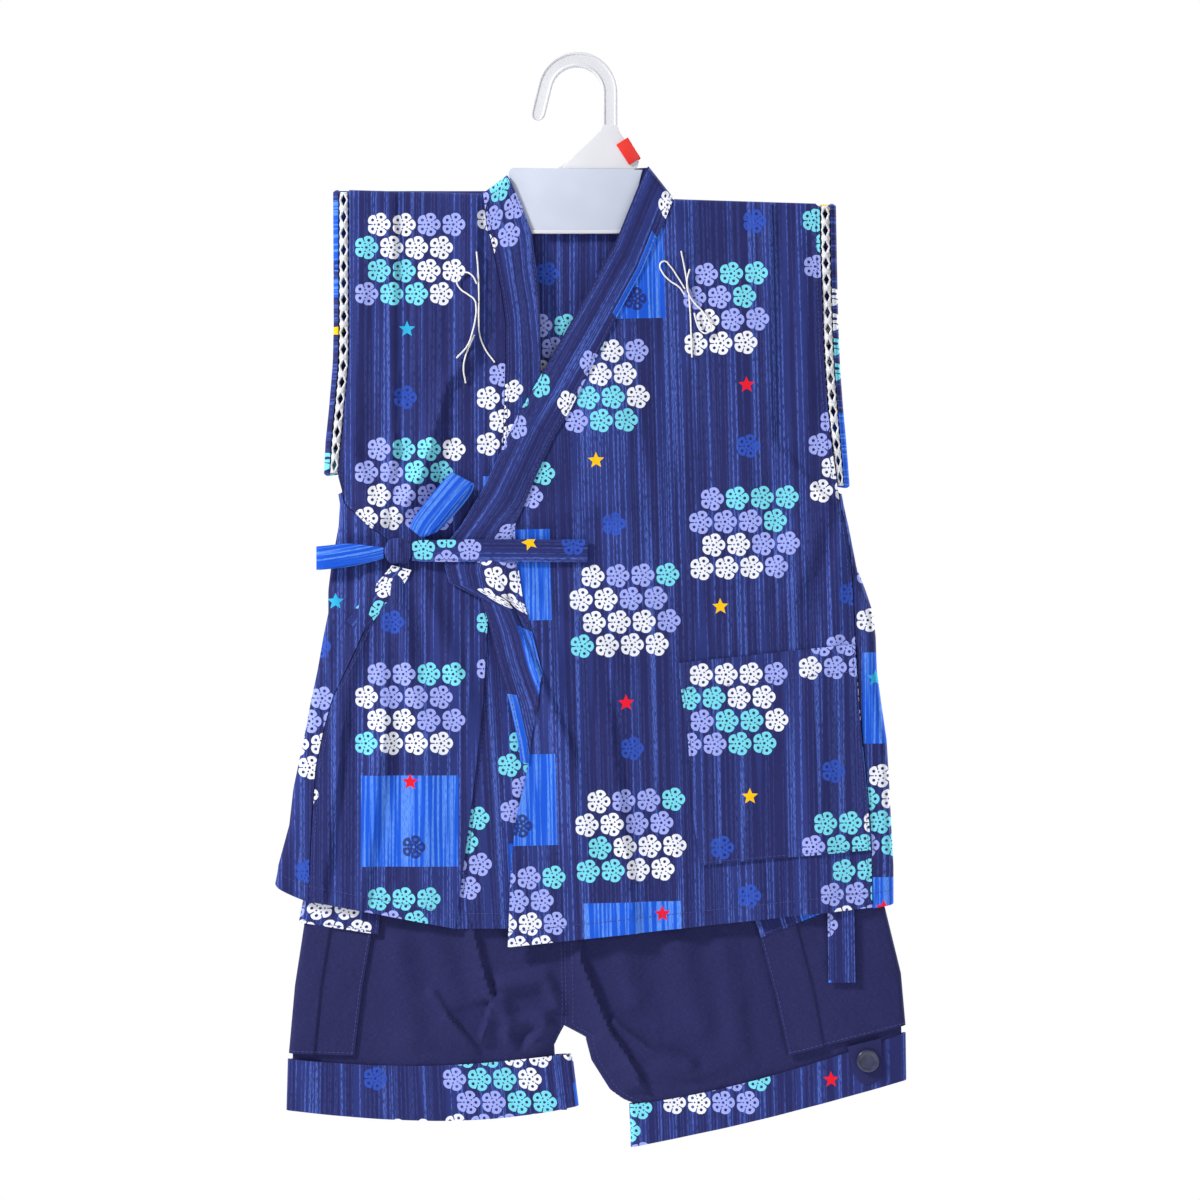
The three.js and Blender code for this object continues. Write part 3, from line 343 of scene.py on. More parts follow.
def side_distance(x, z):
    return np.minimum(x - along(OUTLINE, "left", z), along(OUTLINE, "right", z) - x)


def round_sides(level, x, z):
    rounded = lerp(middle_level(z), level, curl(np.maximum(side_distance(x, z), 0), SIDE_ROUND))
    return np.where(z > ARMHOLE_END, level, rounded)


def round_top(level, z, from_top):
    return lerp(middle_level(z), level, curl(from_top, SHOULDER_ROUND))


JACKET_FOLD_GAIN = 1.75


def jacket_bulge(x, z):
    return JACKET_FOLD_GAIN * creases(JACKET_CREASES, x, z) + 1.3 * waves(x, z)


def over_lift(x):
    return OVERLAP_LIFT * smooth(OVERLAP_X["none"], OVERLAP_X["full"], x)


def under_depth(x, z, out=0):
    return round_sides(front_level(z) - jacket_bulge(x, z) - out, x, z)


def over_depth(x, z, out=0):
    return round_sides(front_level(z) - jacket_bulge(x, z) - over_lift(x) - out, x, z)


# ---- Mesh making ----

def grid_normals(points, ring):
    """Unit normals of a grid of points, rows by columns."""
    if ring:
        across = np.roll(points, -1, 1) - np.roll(points, 1, 1)
    else:
        across = np.gradient(points, axis=1)
    down = np.gradient(points, axis=0)
    normals = np.cross(across, down)
    return normals / np.maximum(np.linalg.norm(normals, axis=2, keepdims=True), 1e-9)


def wall(points, thickness, uv, ring=False):
    """Vertices, faces and UVs of a closed wall round a grid. A ring joins its last column to its first."""
    rows, columns = points.shape[:2]
    normals = grid_normals(points, ring)
    layers = [points + normals * thickness / 2, points - normals * thickness / 2]
    places = np.concatenate([layer.reshape(-1, 3) for layer in layers])
    flat = uv.reshape(-1, 2)
    count = rows * columns

    def index(side, j, i):
        return side * count + j * columns + i % columns

    spans = columns if ring else columns - 1
    faces = []
    for j in range(rows - 1):
        for i in range(spans):
            faces.append((index(0, j, i), index(0, j, i + 1), index(0, j + 1, i + 1), index(0, j + 1, i)))
            faces.append((index(1, j, i), index(1, j + 1, i), index(1, j + 1, i + 1), index(1, j, i + 1)))
    for i in range(spans):
        faces.append((index(0, 0, i + 1), index(0, 0, i), index(1, 0, i), index(1, 0, i + 1)))
        last = rows - 1
        faces.append((index(0, last, i), index(0, last, i + 1), index(1, last, i + 1), index(1, last, i)))
    if not ring:
        last = columns - 1
        for j in range(rows - 1):
            faces.append((index(0, j, 0), index(0, j + 1, 0), index(1, j + 1, 0), index(1, j, 0)))
            right = (index(0, j + 1, last), index(0, j, last), index(1, j, last), index(1, j + 1, last))
            faces.append(right)
    return places, faces, np.concatenate([flat, flat])


def new_object(name, places, faces, uv=None, sharp=50):
    """A mesh object from places in millimetres."""
    mesh = bpy.data.meshes.new(name)
    mesh.from_pydata((np.asarray(places) * MM).tolist(), [], faces)
    if uv is not None:
        layer = mesh.uv_layers.new(name="Cut")
        loops = np.zeros(len(mesh.loops), np.int32)
        mesh.loops.foreach_get("vertex_index", loops)
        layer.data.foreach_set("uv", (np.asarray(uv)[loops] * MM).astype(np.float32).ravel())
    bm = bmesh.new()
    bm.from_mesh(mesh)
    bmesh.ops.recalc_face_normals(bm, faces=bm.faces)
    bm.to_mesh(mesh)
    bm.free()
    mesh.shade_smooth()
    mesh.set_sharp_from_angle(angle=math.radians(sharp))
    obj = bpy.data.objects.new(name, mesh)
    bpy.context.scene.collection.objects.link(obj)
    return obj


def clean_mesh(mesh, distance, outward=True):
    """Joins points closer than a distance in metres, and turns the faces outward."""
    bm = bmesh.new()
    bm.from_mesh(mesh)
    bmesh.ops.remove_doubles(bm, verts=bm.verts, dist=distance)
    if outward:
        bmesh.ops.recalc_face_normals(bm, faces=bm.faces)
    bm.to_mesh(mesh)
    bm.free()


def finish_piece(obj, material, slot, nodes=()):
    obj.data.materials.clear()
    obj.data.materials.append(material)
    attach(obj, "root")
    if nodes:
        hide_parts(*nodes)
    return obj


def sheet_area(points, ring=False):
    """Area of a grid's surface, in square metres."""
    if ring:
        points = np.concatenate([points, points[:, :1]], 1)
    a = points[1:, 1:] - points[:-1, :-1]
    b = points[1:, :-1] - points[:-1, 1:]
    return float(np.linalg.norm(np.cross(a, b), axis=2).sum() / 2) * MM * MM


SURFACES = {}


def cloth(node, points, uv, material, held, thickness=CLOTH, ring=False):
    """A finished cloth piece."""
    SURFACES[node] = (points, thickness, ring)
    obj = new_object(node + "_cloth", *wall(points, thickness, uv, ring))
    finish_piece(obj, material, "navy_cotton" if material == NAVY else "printed_cotton", [node])
    area = sheet_area(points, ring)
    return obj


def shares(length, step, round_start=0, round_end=0):
    """Shares from 0 to 1, closer together in the rounded ends."""
    near = np.array([0, 0.02, 0.06, 0.13, 0.23, 0.36, 0.53, 0.75, 1])
    start = near * round_start / length if round_start else np.array([0.0])
    end = 1 - near[::-1] * round_end / length if round_end else np.array([1.0])
    count = max(1, round((end[0] - start[-1]) * length / step))
    middle = np.linspace(start[-1], end[0], count + 1)[1:-1]
    return np.concatenate([start, middle, end])


def panel(rows, depth, step=STEP, top=0, left=0, right=0):
    """A grid ruled between left and right edges. depth(x, z, from_top) places it front to back."""
    stations = []
    for k, (high, low) in enumerate(zip(rows, rows[1:])):
        tall = max(abs(high["lz"] - low["lz"]), abs(high["rz"] - low["rz"]))
        steps = shares(tall, step, top if k == 0 else 0)
        for t in steps if k == 0 else steps[1:]:
            stations.append([lerp(high[key], low[key], t) for key in ("lx", "lz", "rx", "rz")])
    lx, lz, rx, rz = (column[:, None] for column in np.array(stations).T)
    widest = max(math.hypot(r["rx"] - r["lx"], r["rz"] - r["lz"]) for r in rows)
    u = shares(widest, step, left, right)[None, :]
    x = lerp(lx, rx, u)
    z = lerp(lz, rz, u)
    from_top = lerp(rows[0]["lz"], rows[0]["rz"], u) - z
    return np.stack([x, depth(x, z, from_top), z], 2)


def flat_uv(points, shift=(0, 0), turn=0):
    """Cut coordinates of a flat panel: its own X and Z, turned and shifted across the printed cloth."""
    c, s = math.cos(math.radians(turn)), math.sin(math.radians(turn))
    x, z = points[..., 0], points[..., 2]
    return np.stack([c * x + s * z + shift[0], c * z - s * x + shift[1]], 2)


def band_uv(points, shift=(0, 0)):
    """Cut coordinates of a band: across it, and along its length."""
    middle = points[:, points.shape[1] // 2]
    along_band = np.concatenate([[0], np.cumsum(np.linalg.norm(np.diff(middle, axis=0), axis=1))])
    steps = np.linalg.norm(np.diff(points, axis=1), axis=2)
    across = np.concatenate([np.zeros((len(points), 1)), np.cumsum(steps, axis=1)], 1)
    length = np.repeat(along_band[:, None], points.shape[1], 1)
    return np.stack([across + shift[0], shift[1] - length], 2)


# ---- Node materials, written as sums ----

class Field:
    """A number in a shader's node tree, with arithmetic."""

    def __init__(self, tree, socket):
        self.tree = tree
        self.socket = socket

    def math(self, operation, *others):
        node = self.tree.nodes.new("ShaderNodeMath")
        node.operation = operation
        for entry, value in zip(node.inputs, (self, *others)):
            if isinstance(value, Field):
                self.tree.links.new(value.socket, entry)
            else:
                entry.default_value = value
        return Field(self.tree, node.outputs[0])

    def __add__(self, other):
        return self.math("ADD", other)

    def __sub__(self, other):
        return self.math("SUBTRACT", other)

    def __mul__(self, other):
        return self.math("MULTIPLY", other)

    def __truediv__(self, other):
        return self.math("DIVIDE", other)

    def __lt__(self, other):
        return self.math("LESS_THAN", other)

    def __gt__(self, other):
        return self.math("GREATER_THAN", other)

    def __abs__(self):
        return self.math("ABSOLUTE")

    def floor(self):
        return self.math("FLOOR")

    def odd(self):
        """1 where a whole number is odd."""
        return self.math("FLOORED_MODULO", 2.0)

    def flip(self):
        """1 where the mask is 0, and 0 where it is 1."""
        return (self * -1.0) + 1.0

    def ramp(self, start, end):
        node = self.tree.nodes.new("ShaderNodeMapRange")
        node.interpolation_type = "SMOOTHSTEP"
        node.inputs["From Min"].default_value = start
        node.inputs["From Max"].default_value = end
        self.tree.links.new(self.socket, node.inputs["Value"])
        return Field(self.tree, node.outputs["Result"])


def combine(x, y, z=0.0):
    tree = x.tree
    node = tree.nodes.new("ShaderNodeCombineXYZ")
    for entry, value in zip(node.inputs, (x, y, z)):
        if isinstance(value, Field):
            tree.links.new(value.socket, entry)
        else:
            entry.default_value = value
    return node.outputs[0]


def cell_noise(x, y, z=0.0):
    """A fixed random number from 0 to 1 for whole numbers x and y."""
    node = x.tree.nodes.new("ShaderNodeTexWhiteNoise")
    node.noise_dimensions = "3D"
    x.tree.links.new(combine(x + 0.5, y + 0.5, z), node.inputs["Vector"])
    return Field(x.tree, node.outputs["Value"])


def streaks(x, y, detail=1.0):
    node = x.tree.nodes.new("ShaderNodeTexNoise")
    node.noise_dimensions = "2D"
    node.inputs["Scale"].default_value = 1.0
    node.inputs["Detail"].default_value = detail
    x.tree.links.new(combine(x, y), node.inputs["Vector"])
    return Field(x.tree, node.outputs["Fac"])


def mix(mask, below, above):
    """Colour above where mask is 1, and below where it is 0."""
    node = mask.tree.nodes.new("ShaderNodeMix")
    node.data_type = "RGBA"
    mask.tree.links.new(mask.socket, node.inputs[0])
    for entry, value in ((node.inputs[6], below), (node.inputs[7], above)):
        if isinstance(value, tuple):
            entry.default_value = (*value, 1)
        else:
            mask.tree.links.new(value, entry)
    return node.outputs[2]


def new_material(name, roughness, **inputs):
    material = bpy.data.materials.new(name)
    material.use_nodes = True
    shader = material.node_tree.nodes["Principled BSDF"]
    shader.inputs["Roughness"].default_value = roughness
    for key, value in inputs.items():
        shader.inputs[key.replace("_", " ")].default_value = value
    return material, material.node_tree, shader


def cut_coordinates(tree):
    uv = tree.nodes.new("ShaderNodeUVMap")
    uv.uv_map = "Cut"
    split = tree.nodes.new("ShaderNodeSeparateXYZ")
    tree.links.new(uv.outputs[0], split.inputs[0])
    return Field(tree, split.outputs[0]) * 1000.0, Field(tree, split.outputs[1]) * 1000.0


def add_bump(tree, shader, height, distance, strength=1.0):
    bump = tree.nodes.new("ShaderNodeBump")
    bump.inputs["Distance"].default_value = distance
    bump.inputs["Strength"].default_value = strength
    tree.links.new(height.socket, bump.inputs["Height"])
    tree.links.new(bump.outputs[0], shader.inputs["Normal"])


# The print: columns of cells, each column slid down by a share of a cell. Every other cell holds a
# staggered block of plum blossoms, and the cells between hold a star and a faint blossom, on the ground or
# on a bright patch.
CELL = {"wide": 80.0, "tall": 74.0, "slide": 25.0}
BLOSSOM = {"radius": 7.9, "pitch_u": 16.4, "pitch_v": 15.2, "rows": 4}
PATCH = {"wide": 64.0, "tall": 60.0}
STAR = {"tip": 5.6, "valley": 2.5}
INK = {
    "navy": (0.019, 0.022, 0.112),
    "band": (0.028, 0.044, 0.215),
    "line": (0.085, 0.150, 0.55),
    "patch": (0.010, 0.090, 0.62),
    "patch_line": (0.12, 0.30, 0.84),
    "white": (0.80, 0.81, 0.88),
    "periwinkle": (0.33, 0.38, 0.83),
    "cyan": (0.18, 0.66, 0.78),
    "faint": (0.028, 0.085, 0.50),
    "red": (0.78, 0.010, 0.030),
    "yellow": (0.92, 0.52, 0.008),
    "star_cyan": (0.03, 0.40, 0.68),
}


def blossom(u, v, radius):
    """1 on a five-petalled plum blossom with a spot on each petal and small spots between them."""
    r = (u * u + v * v).math("SQRT")
    turned = v.math("ARCTAN2", u) * 2.5
    petal = abs(turned.math("COSINE"))
    edge = petal.math("POWER", 0.6) * (0.26 * radius) + 0.74 * radius
    slit = (petal < 0.17) * (r > 0.5 * radius)
    dark = slit.math("MAXIMUM", spots(r, petal.math("ARCCOSINE") / 2.5, 0.64 * radius, 0.125 * radius))
    dark = dark.math("MAXIMUM", spots(r, petal.math("ARCSINE") / 2.5, 0.34 * radius, 0.07 * radius))
    dark = dark.math("MAXIMUM", r < 0.11 * radius)
    return (r < edge) * dark.flip()


def spots(r, turn, reach, size):
    """1 on round spots at a reach from the middle, where turn is the angle from the nearest spot's line."""
    return (r * r + reach * reach - r * turn.math("COSINE") * (2 * reach)) < size * size


def star(u, v):
    """1 on a five-pointed star."""
    fifth = math.radians(72)
    angle = (v.math("ARCTAN2", u) - math.radians(90) + 10 * fifth).math("FLOORED_MODULO", fifth)
    folded = abs(angle - fifth / 2) * -1.0 + fifth / 2
    r = (u * u + v * v).math("SQRT")
    x, y = r * folded.math("COSINE"), r * folded.math("SINE")
    valley_x = STAR["valley"] * math.cos(fifth / 2)
    valley_y = STAR["valley"] * math.sin(fifth / 2)
    edge_x, edge_y = valley_y, STAR["tip"] - valley_x
    return ((x - STAR["tip"]) * edge_x + y * edge_y) < 0.0


def finish_print(tree, shader, color, grain, fine, wrinkle):
    shaded = tree.nodes.new("ShaderNodeHueSaturation")
    tree.links.new((grain * 0.30 + 0.85).socket, shaded.inputs["Value"])
    tree.links.new(color, shaded.inputs["Color"])
    tree.links.new(shaded.outputs[0], shader.inputs["Base Color"])
    add_bump(tree, shader, grain * 0.07 + fine * 0.015 + wrinkle * 1.3, MM, 1.0)


def print_material(name, plain=None):
    material, tree, shader = new_material(name, 0.86, Sheen_Weight=0.04, Specular_IOR_Level=0.12)
    u, v = cut_coordinates(tree)
    fine = streaks(u * 0.74, v * 0.004, 0.0).ramp(0.52, 0.60)
    slub = streaks(u * 2.4, v * 0.28, 2.0).ramp(0.34, 0.60)
    bands = streaks(u * 0.15 + 9.0, v * 0.003, 0.0).ramp(0.46, 0.58)
    grain = streaks(u * 3.1, v * 2.3, 1.0)
    wrinkle = streaks(u * 0.055, v * 0.04, 3.0)
    lines = fine * slub * (bands * 0.62 + 0.20)
    ground = mix(lines, mix(bands * 0.6, INK["navy"], INK["band"]), INK["line"])
    patch_fine = streaks(u * 0.55 + 40.0, v * 0.010, 1.0).ramp(0.44, 0.64)
    patch_ground = mix(patch_fine * (slub * 0.5 + 0.4), INK["patch"], INK["patch_line"])
    if plain:
        color = ground if plain == "navy" else patch_ground
        finish_print(tree, shader, color, grain, fine, wrinkle)
        return material

    column = (u / CELL["wide"]).floor()
    slid = v + column * CELL["slide"]
    row = (slid / CELL["tall"]).floor()
    cell_u = u - (column + 0.5) * CELL["wide"]
    cell_v = slid - (row + 0.5) * CELL["tall"]
    block_cell = (column + row).odd()
    chance = cell_noise(column, row)

    # Bright patches, in about a quarter of the open cells
    on_patch = (abs(cell_u) < PATCH["wide"] / 2) * (abs(cell_v) < PATCH["tall"] / 2)
    on_patch = on_patch * block_cell.flip() * (chance > 0.70)
    color = mix(on_patch, ground, patch_ground)

    # One faint blossom in each open cell
    faint_u = cell_u - (cell_noise(column, row, 3.5) - 0.5) * 30.0
    faint_v = cell_v + 17.0
    faint = blossom(faint_u, faint_v, BLOSSOM["radius"]) * block_cell.flip()
    faint_ink = mix(on_patch, INK["faint"], INK["navy"])
    color = mix(faint * 0.85, color, faint_ink)

    # Blocks of staggered blossoms
    across = BLOSSOM["pitch_u"]
    down = BLOSSOM["pitch_v"]
    line_v = cell_v + down * BLOSSOM["rows"] / 2
    line = (line_v / down).floor()
    shift = line.odd() * (across / 2) - across * 2.25
    place_u = cell_u - shift
    place = (place_u / across).floor()
    count = (cell_noise(column, row, 7.5) > 0.55) * -1.0 + 4.0
    in_block = (line > -0.5) * (line < BLOSSOM["rows"] - 0.5) * (place > -0.5) * (place < count - 0.5)
    flower = blossom(place_u - (place + 0.5) * across, line_v - (line + 0.5) * down, BLOSSOM["radius"])
    flower = flower * in_block * block_cell
    tone = cell_noise(column, row, 1.5) * 2.2 + place * 0.21 + line * 0.27
    tone = tone.math("FLOORED_MODULO", 1.6)
    ink = mix(tone > 0.62, INK["white"], INK["periwinkle"])
    ink = mix(tone > 1.12, ink, INK["cyan"])
    color = mix(flower, color, ink)

    # A star in each open cell
    star_u = cell_u - (cell_noise(column, row, 5.5) - 0.5) * 52.0
    star_v = cell_v - 20.0 - (cell_noise(column, row, 9.5) - 0.5) * 22.0
    on_star = star(star_u, star_v) * block_cell.flip()
    star_tone = cell_noise(column, row, 11.5)
    star_ink = mix(star_tone > 0.42, INK["red"], INK["yellow"])
    star_ink = mix(star_tone > 0.72, star_ink, INK["star_cyan"])
    color = mix(on_star, color, star_ink)

    finish_print(tree, shader, color, grain, fine, wrinkle)
    return material


def plain_cotton(name, color, light):
    material, tree, shader = new_material(name, 0.88, Sheen_Weight=0.04, Specular_IOR_Level=0.12)
    u, v = cut_coordinates(tree)
    warp = streaks(u * 2.6, v * 0.35, 1.0)
    weft = streaks(u * 0.35, v * 2.6, 1.0)
    cloud = streaks(u * 0.02, v * 0.02, 2.0)
    amount = (warp + weft - 0.7) * 0.7 + cloud * 0.3
    tree.links.new(mix(amount.ramp(0.0, 1.0), color, light), shader.inputs["Base Color"])
    wrinkle = streaks(u * 0.05, v * 0.042, 3.0)
    add_bump(tree, shader, (warp + weft) * 0.06 + wrinkle * 1.6, MM, 1.0)
    return material


def object_noise(tree, scale, detail=2.0):
    coordinates = tree.nodes.new("ShaderNodeTexCoord")
    node = tree.nodes.new("ShaderNodeTexNoise")
    node.inputs["Scale"].default_value = scale
    node.inputs["Detail"].default_value = detail
    tree.links.new(coordinates.outputs["Object"], node.inputs["Vector"])
    return Field(tree, node.outputs["Fac"])


def solid_material(name, color, light, roughness, scale, bump=0.00003, **inputs):
    """Moulded plastic or thread: two close tones in a cloud, with a slight relief."""
    material, tree, shader = new_material(name, roughness, **inputs)
    cloud = object_noise(tree, scale)
    tree.links.new(mix(cloud.ramp(0.3, 0.7), color, light), shader.inputs["Base Color"])
    add_bump(tree, shader, object_noise(tree, scale * 9, 1.0), bump, 0.5)
    return material


PRINT = print_material("printed_cotton")
PRINT_NAVY = print_material("printed_cotton_navy", "navy")
PRINT_BRIGHT = print_material("printed_cotton_bright", "bright")
NAVY = plain_cotton("navy_cotton", (0.0165, 0.0175, 0.080), (0.031, 0.033, 0.125))
LACE = solid_material("lace", (0.60, 0.60, 0.64), (0.84, 0.84, 0.86), 0.85, 700, 0.0004)
PLASTIC = solid_material("hanger_plastic", (0.66, 0.66, 0.70), (0.72, 0.72, 0.76), 0.42, 22)
BOARD = solid_material("board_plastic", (0.53, 0.575, 0.69), (0.59, 0.63, 0.74), 0.45, 26)
CHIP = solid_material("chip_plastic", (0.68, 0.020, 0.018), (0.76, 0.035, 0.026), 0.36, 60)
BUTTON_RESIN = solid_material("button_resin", (0.020, 0.022, 0.060), (0.032, 0.036, 0.085), 0.3, 160)
THREAD = solid_material("holding_thread", (0.74, 0.72, 0.70), (0.90, 0.89, 0.87), 0.85, 1500, 0.0002)
STITCHING = solid_material("navy_stitching", (0.030, 0.036, 0.16), (0.060, 0.075, 0.28), 0.8, 1800, 0.0001)

# ---- Camera ----

VIEW_SIZE = 0.792
VIEW_CENTRE = (0.0152, -0.3515)
VIEW_DISTANCE = 2.2
SENSOR = 36.0


def add_camera():
    data = bpy.data.cameras.new("camera")
    data.sensor_width = SENSOR
    data.lens = SENSOR * VIEW_DISTANCE / VIEW_SIZE
    camera = bpy.data.objects.new("camera", data)
    camera.location = (VIEW_CENTRE[0], -VIEW_DISTANCE, VIEW_CENTRE[1])
    camera.rotation_euler = (math.radians(90), 0, 0)
    bpy.context.scene.collection.objects.link(camera)
    bpy.context.scene.camera = camera


# ---- Holding threads ----

THREAD_WIDE = 1.1
THREADS = {
    "thread_right_long": table("x z out", [
        [-66.0, -122.4, 0.9],
        [-65.2, -131, 0.9],
        [-64.7, -141, 0.9],
        [-64.5, -154, 0.9],
        [-64.6, -166, 0.9],
        [-64.0, -177, 0.9],
        [-60.5, -186, 0.9],
        [-54.1, -195, 0.9],
    ]),
    "thread_right_loop": table("x z out", [
        [-65.8, -143.6, 2.2],
        [-68.8, -138.2, 2.2],
        [-73.4, -136.0, 2.2],
        [-77.8, -138.2, 2.2],
        [-79.0, -142.4, 2.2],
        [-76.6, -146.9, 2.2],
        [-71.3, -150.8, 2.2],
        [-67.3, -154.2, 2.2],
        [-66.2, -159, 2.2],
        [-66.6, -166, 2.2],
        [-68.6, -175, 2.2],
        [-71.8, -184, 2.2],
        [-79.2, -192.4, 2.2],
    ]),
    "thread_right_short": table("x z out", [
        [-67.5, -177.0, 0.9],
        [-70.8, -184.5, 0.9],
        [-73.4, -191.5, 0.9],
        [-74.6, -199, 0.9],
        [-73.3, -208.6, 0.9],
    ]),
    "thread_left_long": table("x z out", [
        [68.6, -121.8, 0.9],
        [71.3, -135, 0.9],
        [73.3, -147.5, 0.9],
        [74.6, -161.4, 0.9],
        [75.2, -174.6, 0.9],
        [75.9, -191.7, 0.9],
    ]),
    "thread_left_loop": table("x z out", [
        [74.2, -133.7, 2.2],
        [72.6, -141, 2.2],
        [73.2, -148.5, 2.2],
        [76.6, -155.0, 2.2],
        [82.2, -161.0, 2.2],
        [86.9, -167.6, 2.2],
        [88.0, -172.4, 2.2],
        [85.4, -175.9, 2.2],
        [81.6, -174.4, 2.2],
        [79.0, -169.5, 2.2],
        [77.2, -162.5, 2.2],
    ]),
    "thread_left_upper": table("x z out", [
        [71.2, -146.6, 0.9],
        [66.5, -139, 0.9],
        [61.4, -131.6, 0.9],
        [57.6, -128.4, 0.9],
        [54.8, -130.4, 0.9],
        [56.2, -135.6, 0.9],
        [60.9, -141.0, 1.2],
        [67.6, -145.8, 2.2],
        [70.8, -150.4, 2.2],
    ]),
}


def add_threads():
    for name, rows in THREADS.items():
        x = np.array([row["x"] for row in rows], float)
        z = np.array([row["z"] for row in rows], float)
        out = np.array([row["out"] for row in rows], float)
        depth = np.where(x > 0, over_depth(x, z), under_depth(x, z)) - CLOTH / 2 - out
        points = np.stack([x, depth, z], 1) * MM
        curve = bpy.data.curves.new(name + "_line", "CURVE")
        curve.dimensions = "3D"
        curve.bevel_depth = THREAD_WIDE / 2 * MM
        curve.bevel_resolution = 3
        curve.resolution_u = 8
        curve.use_fill_caps = True
        spline = curve.splines.new("BEZIER")
        spline.bezier_points.add(len(points) - 1)
        for point, place in zip(spline.bezier_points, points):
            point.co = place
            point.handle_left_type = "AUTO"
            point.handle_right_type = "AUTO"
        obj = bpy.data.objects.new(name + "_line", curve)
        bpy.context.scene.collection.objects.link(obj)
        curve.materials.append(THREAD)
        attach(obj, "root")
        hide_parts(name)


# ---- Jacket ----


def rows_of(rows, left, right, shift_left=0, shift_right=0):
    """Panel rows from two pairs of columns."""
    (left_x, left_z), (right_x, right_z) = left, right
    return [{"lx": row[left_x] + shift_left, "lz": row[left_z], "rx": row[right_x] + shift_right,
             "rz": row[right_z]} for row in rows]


def add_fronts():
    rows = rows_of(UNDER, ("side_x", "side_z"), ("seam_x", "seam_z"))
    points = panel(rows, lambda x, z, d: round_top(under_depth(x, z), z, d), top=SHOULDER_ROUND)
    cloth("front_right", points, flat_uv(points, (310, 40)), PRINT, "hung")

    rows = rows_of(UNDER[8:], ("seam_x", "seam_z"), ("band_x", "seam_z"), shift_left=SEAM)
    points = panel(rows, lambda x, z, d: under_depth(x, z, -1.3))
    uv = flat_uv(points, (560, 130), 3)
    cloth("overlap_panel_right", points, uv, PRINT, "hung")

    rows = rows_of(OVER, ("seam_x", "seam_z"), ("side_x", "side_z"))
    points = panel(rows, lambda x, z, d: round_top(over_depth(x, z), z, d), top=SHOULDER_ROUND, right=5)
    cloth("front_left", points, flat_uv(points, (18, 26), 1.5), PRINT, "hung")


def crowned(points, height):
    """A band stands proud along its middle, as folded cloth does."""
    share = np.linspace(-1, 1, points.shape[1])[None, :]
    points[..., 1] -= height * (1 - share**4)
    return points


NECK_LAP = 3.4


def add_collar():
    rows = rows_of(UNDER[:18], ("band_x", "seam_z"), ("neck_x", "neck_z"), shift_left=SEAM)
    points = panel(rows, lambda x, z, d: round_top(under_depth(x, z, 0.3), z, d), top=SHOULDER_ROUND)
    points = crowned(points, 0.25)
    cloth("collar_right", points, band_uv(points, (48, 420)), PRINT, "hung", BAND)

    rows = rows_of(OVER[:19], ("neck_x", "neck_z"), ("seam_x", "seam_z"), shift_right=-SEAM)
    points = panel(rows, lambda x, z, d: round_top(over_depth(x, z, 0.4), z, d), top=SHOULDER_ROUND)
    points = crowned(points, 0.35)
    cloth("collar_left", points, band_uv(points, (66, 1330)), PRINT, "hung", BAND)

    under, over = UNDER[0], OVER[0]
    back_rows = [
        {"lx": under["neck_x"], "lz": under["neck_z"], "rx": over["neck_x"], "rz": over["neck_z"]},
        {"lx": -52, "lz": -77, "rx": 53, "rz": -73},
        {"lx": -60, "lz": -86, "rx": 61.5, "rz": -85},
    ]

    def depth(x, z, d):
        ends = np.minimum(x + 61, 62.5 - x)
        return lerp(middle_level(z) + 1.6, back_level(z) + 0.3, curl(np.maximum(ends - 1, 0), 14))

    points = panel(back_rows, depth, step=2)
    dip = neck_dip(points[..., 0])
    points[..., 2] -= (dip + NECK_LAP * smooth(0, 1.2, dip)) * smooth(-66, -86, points[..., 2])
    cloth("collar_back", points, flat_uv(points, (90, 700), 90), PRINT, "hung", BAND)


def neck_dip(x):
    off = (x - BACK_NECK["centre"]) / BACK_NECK["half"]
    return BACK_NECK["drop"] * np.maximum(0, 1 - off * off)


def side_of_back(z, key, inward):
    """X and Y of a row of the back from its side seam round to behind."""
    edge = float(along(OUTLINE, key, z))
    rows = UNDER if key == "left" else OVER
    seam = float(along(rows, "side_x", z, "side_z")) - inward * SIDE_SEAM
    in_front = np.array([1, 0.85, 0.7, 0.56, 0.43, 0.31, 0.2, 0.11, 0.05, 0.015])
    behind = np.array([0, 0.4, 1.2, 2.4, 4, 6, 8.5])
    if z > ARMHOLE_END:
        spread = np.linspace(0, 9, len(in_front) + len(behind))
        x = seam + inward * (spread + SIDE_SEAM)
        return x, np.full(len(x), float(back_level(z)))
    wrap = (seam - edge) * inward
    x_front = edge + inward * in_front * wrap
    level = front_level(z) - jacket_bulge(x_front, z)
    y_front = lerp(middle_level(z), level, curl(in_front * wrap, SIDE_ROUND))
    x_back = edge + inward * behind
    y_back = lerp(middle_level(z), back_level(z), curl(behind, SIDE_ROUND))
    return np.concatenate([x_front, x_back]), np.concatenate([y_front, y_back])


def back_row(z, columns):
    left_x, left_y = side_of_back(z, "left", 1)
    right_x, right_y = side_of_back(z, "right", -1)
    middle_x = np.linspace(left_x[-1], right_x[-1], columns + 2)[1:-1]
    middle_y = np.full(columns, float(back_level(z)))
    x = np.concatenate([left_x, middle_x, right_x[::-1]])
    y = np.concatenate([left_y, middle_y, right_y[::-1]])
    return np.stack([x, y, np.full(len(x), float(z))], 1)


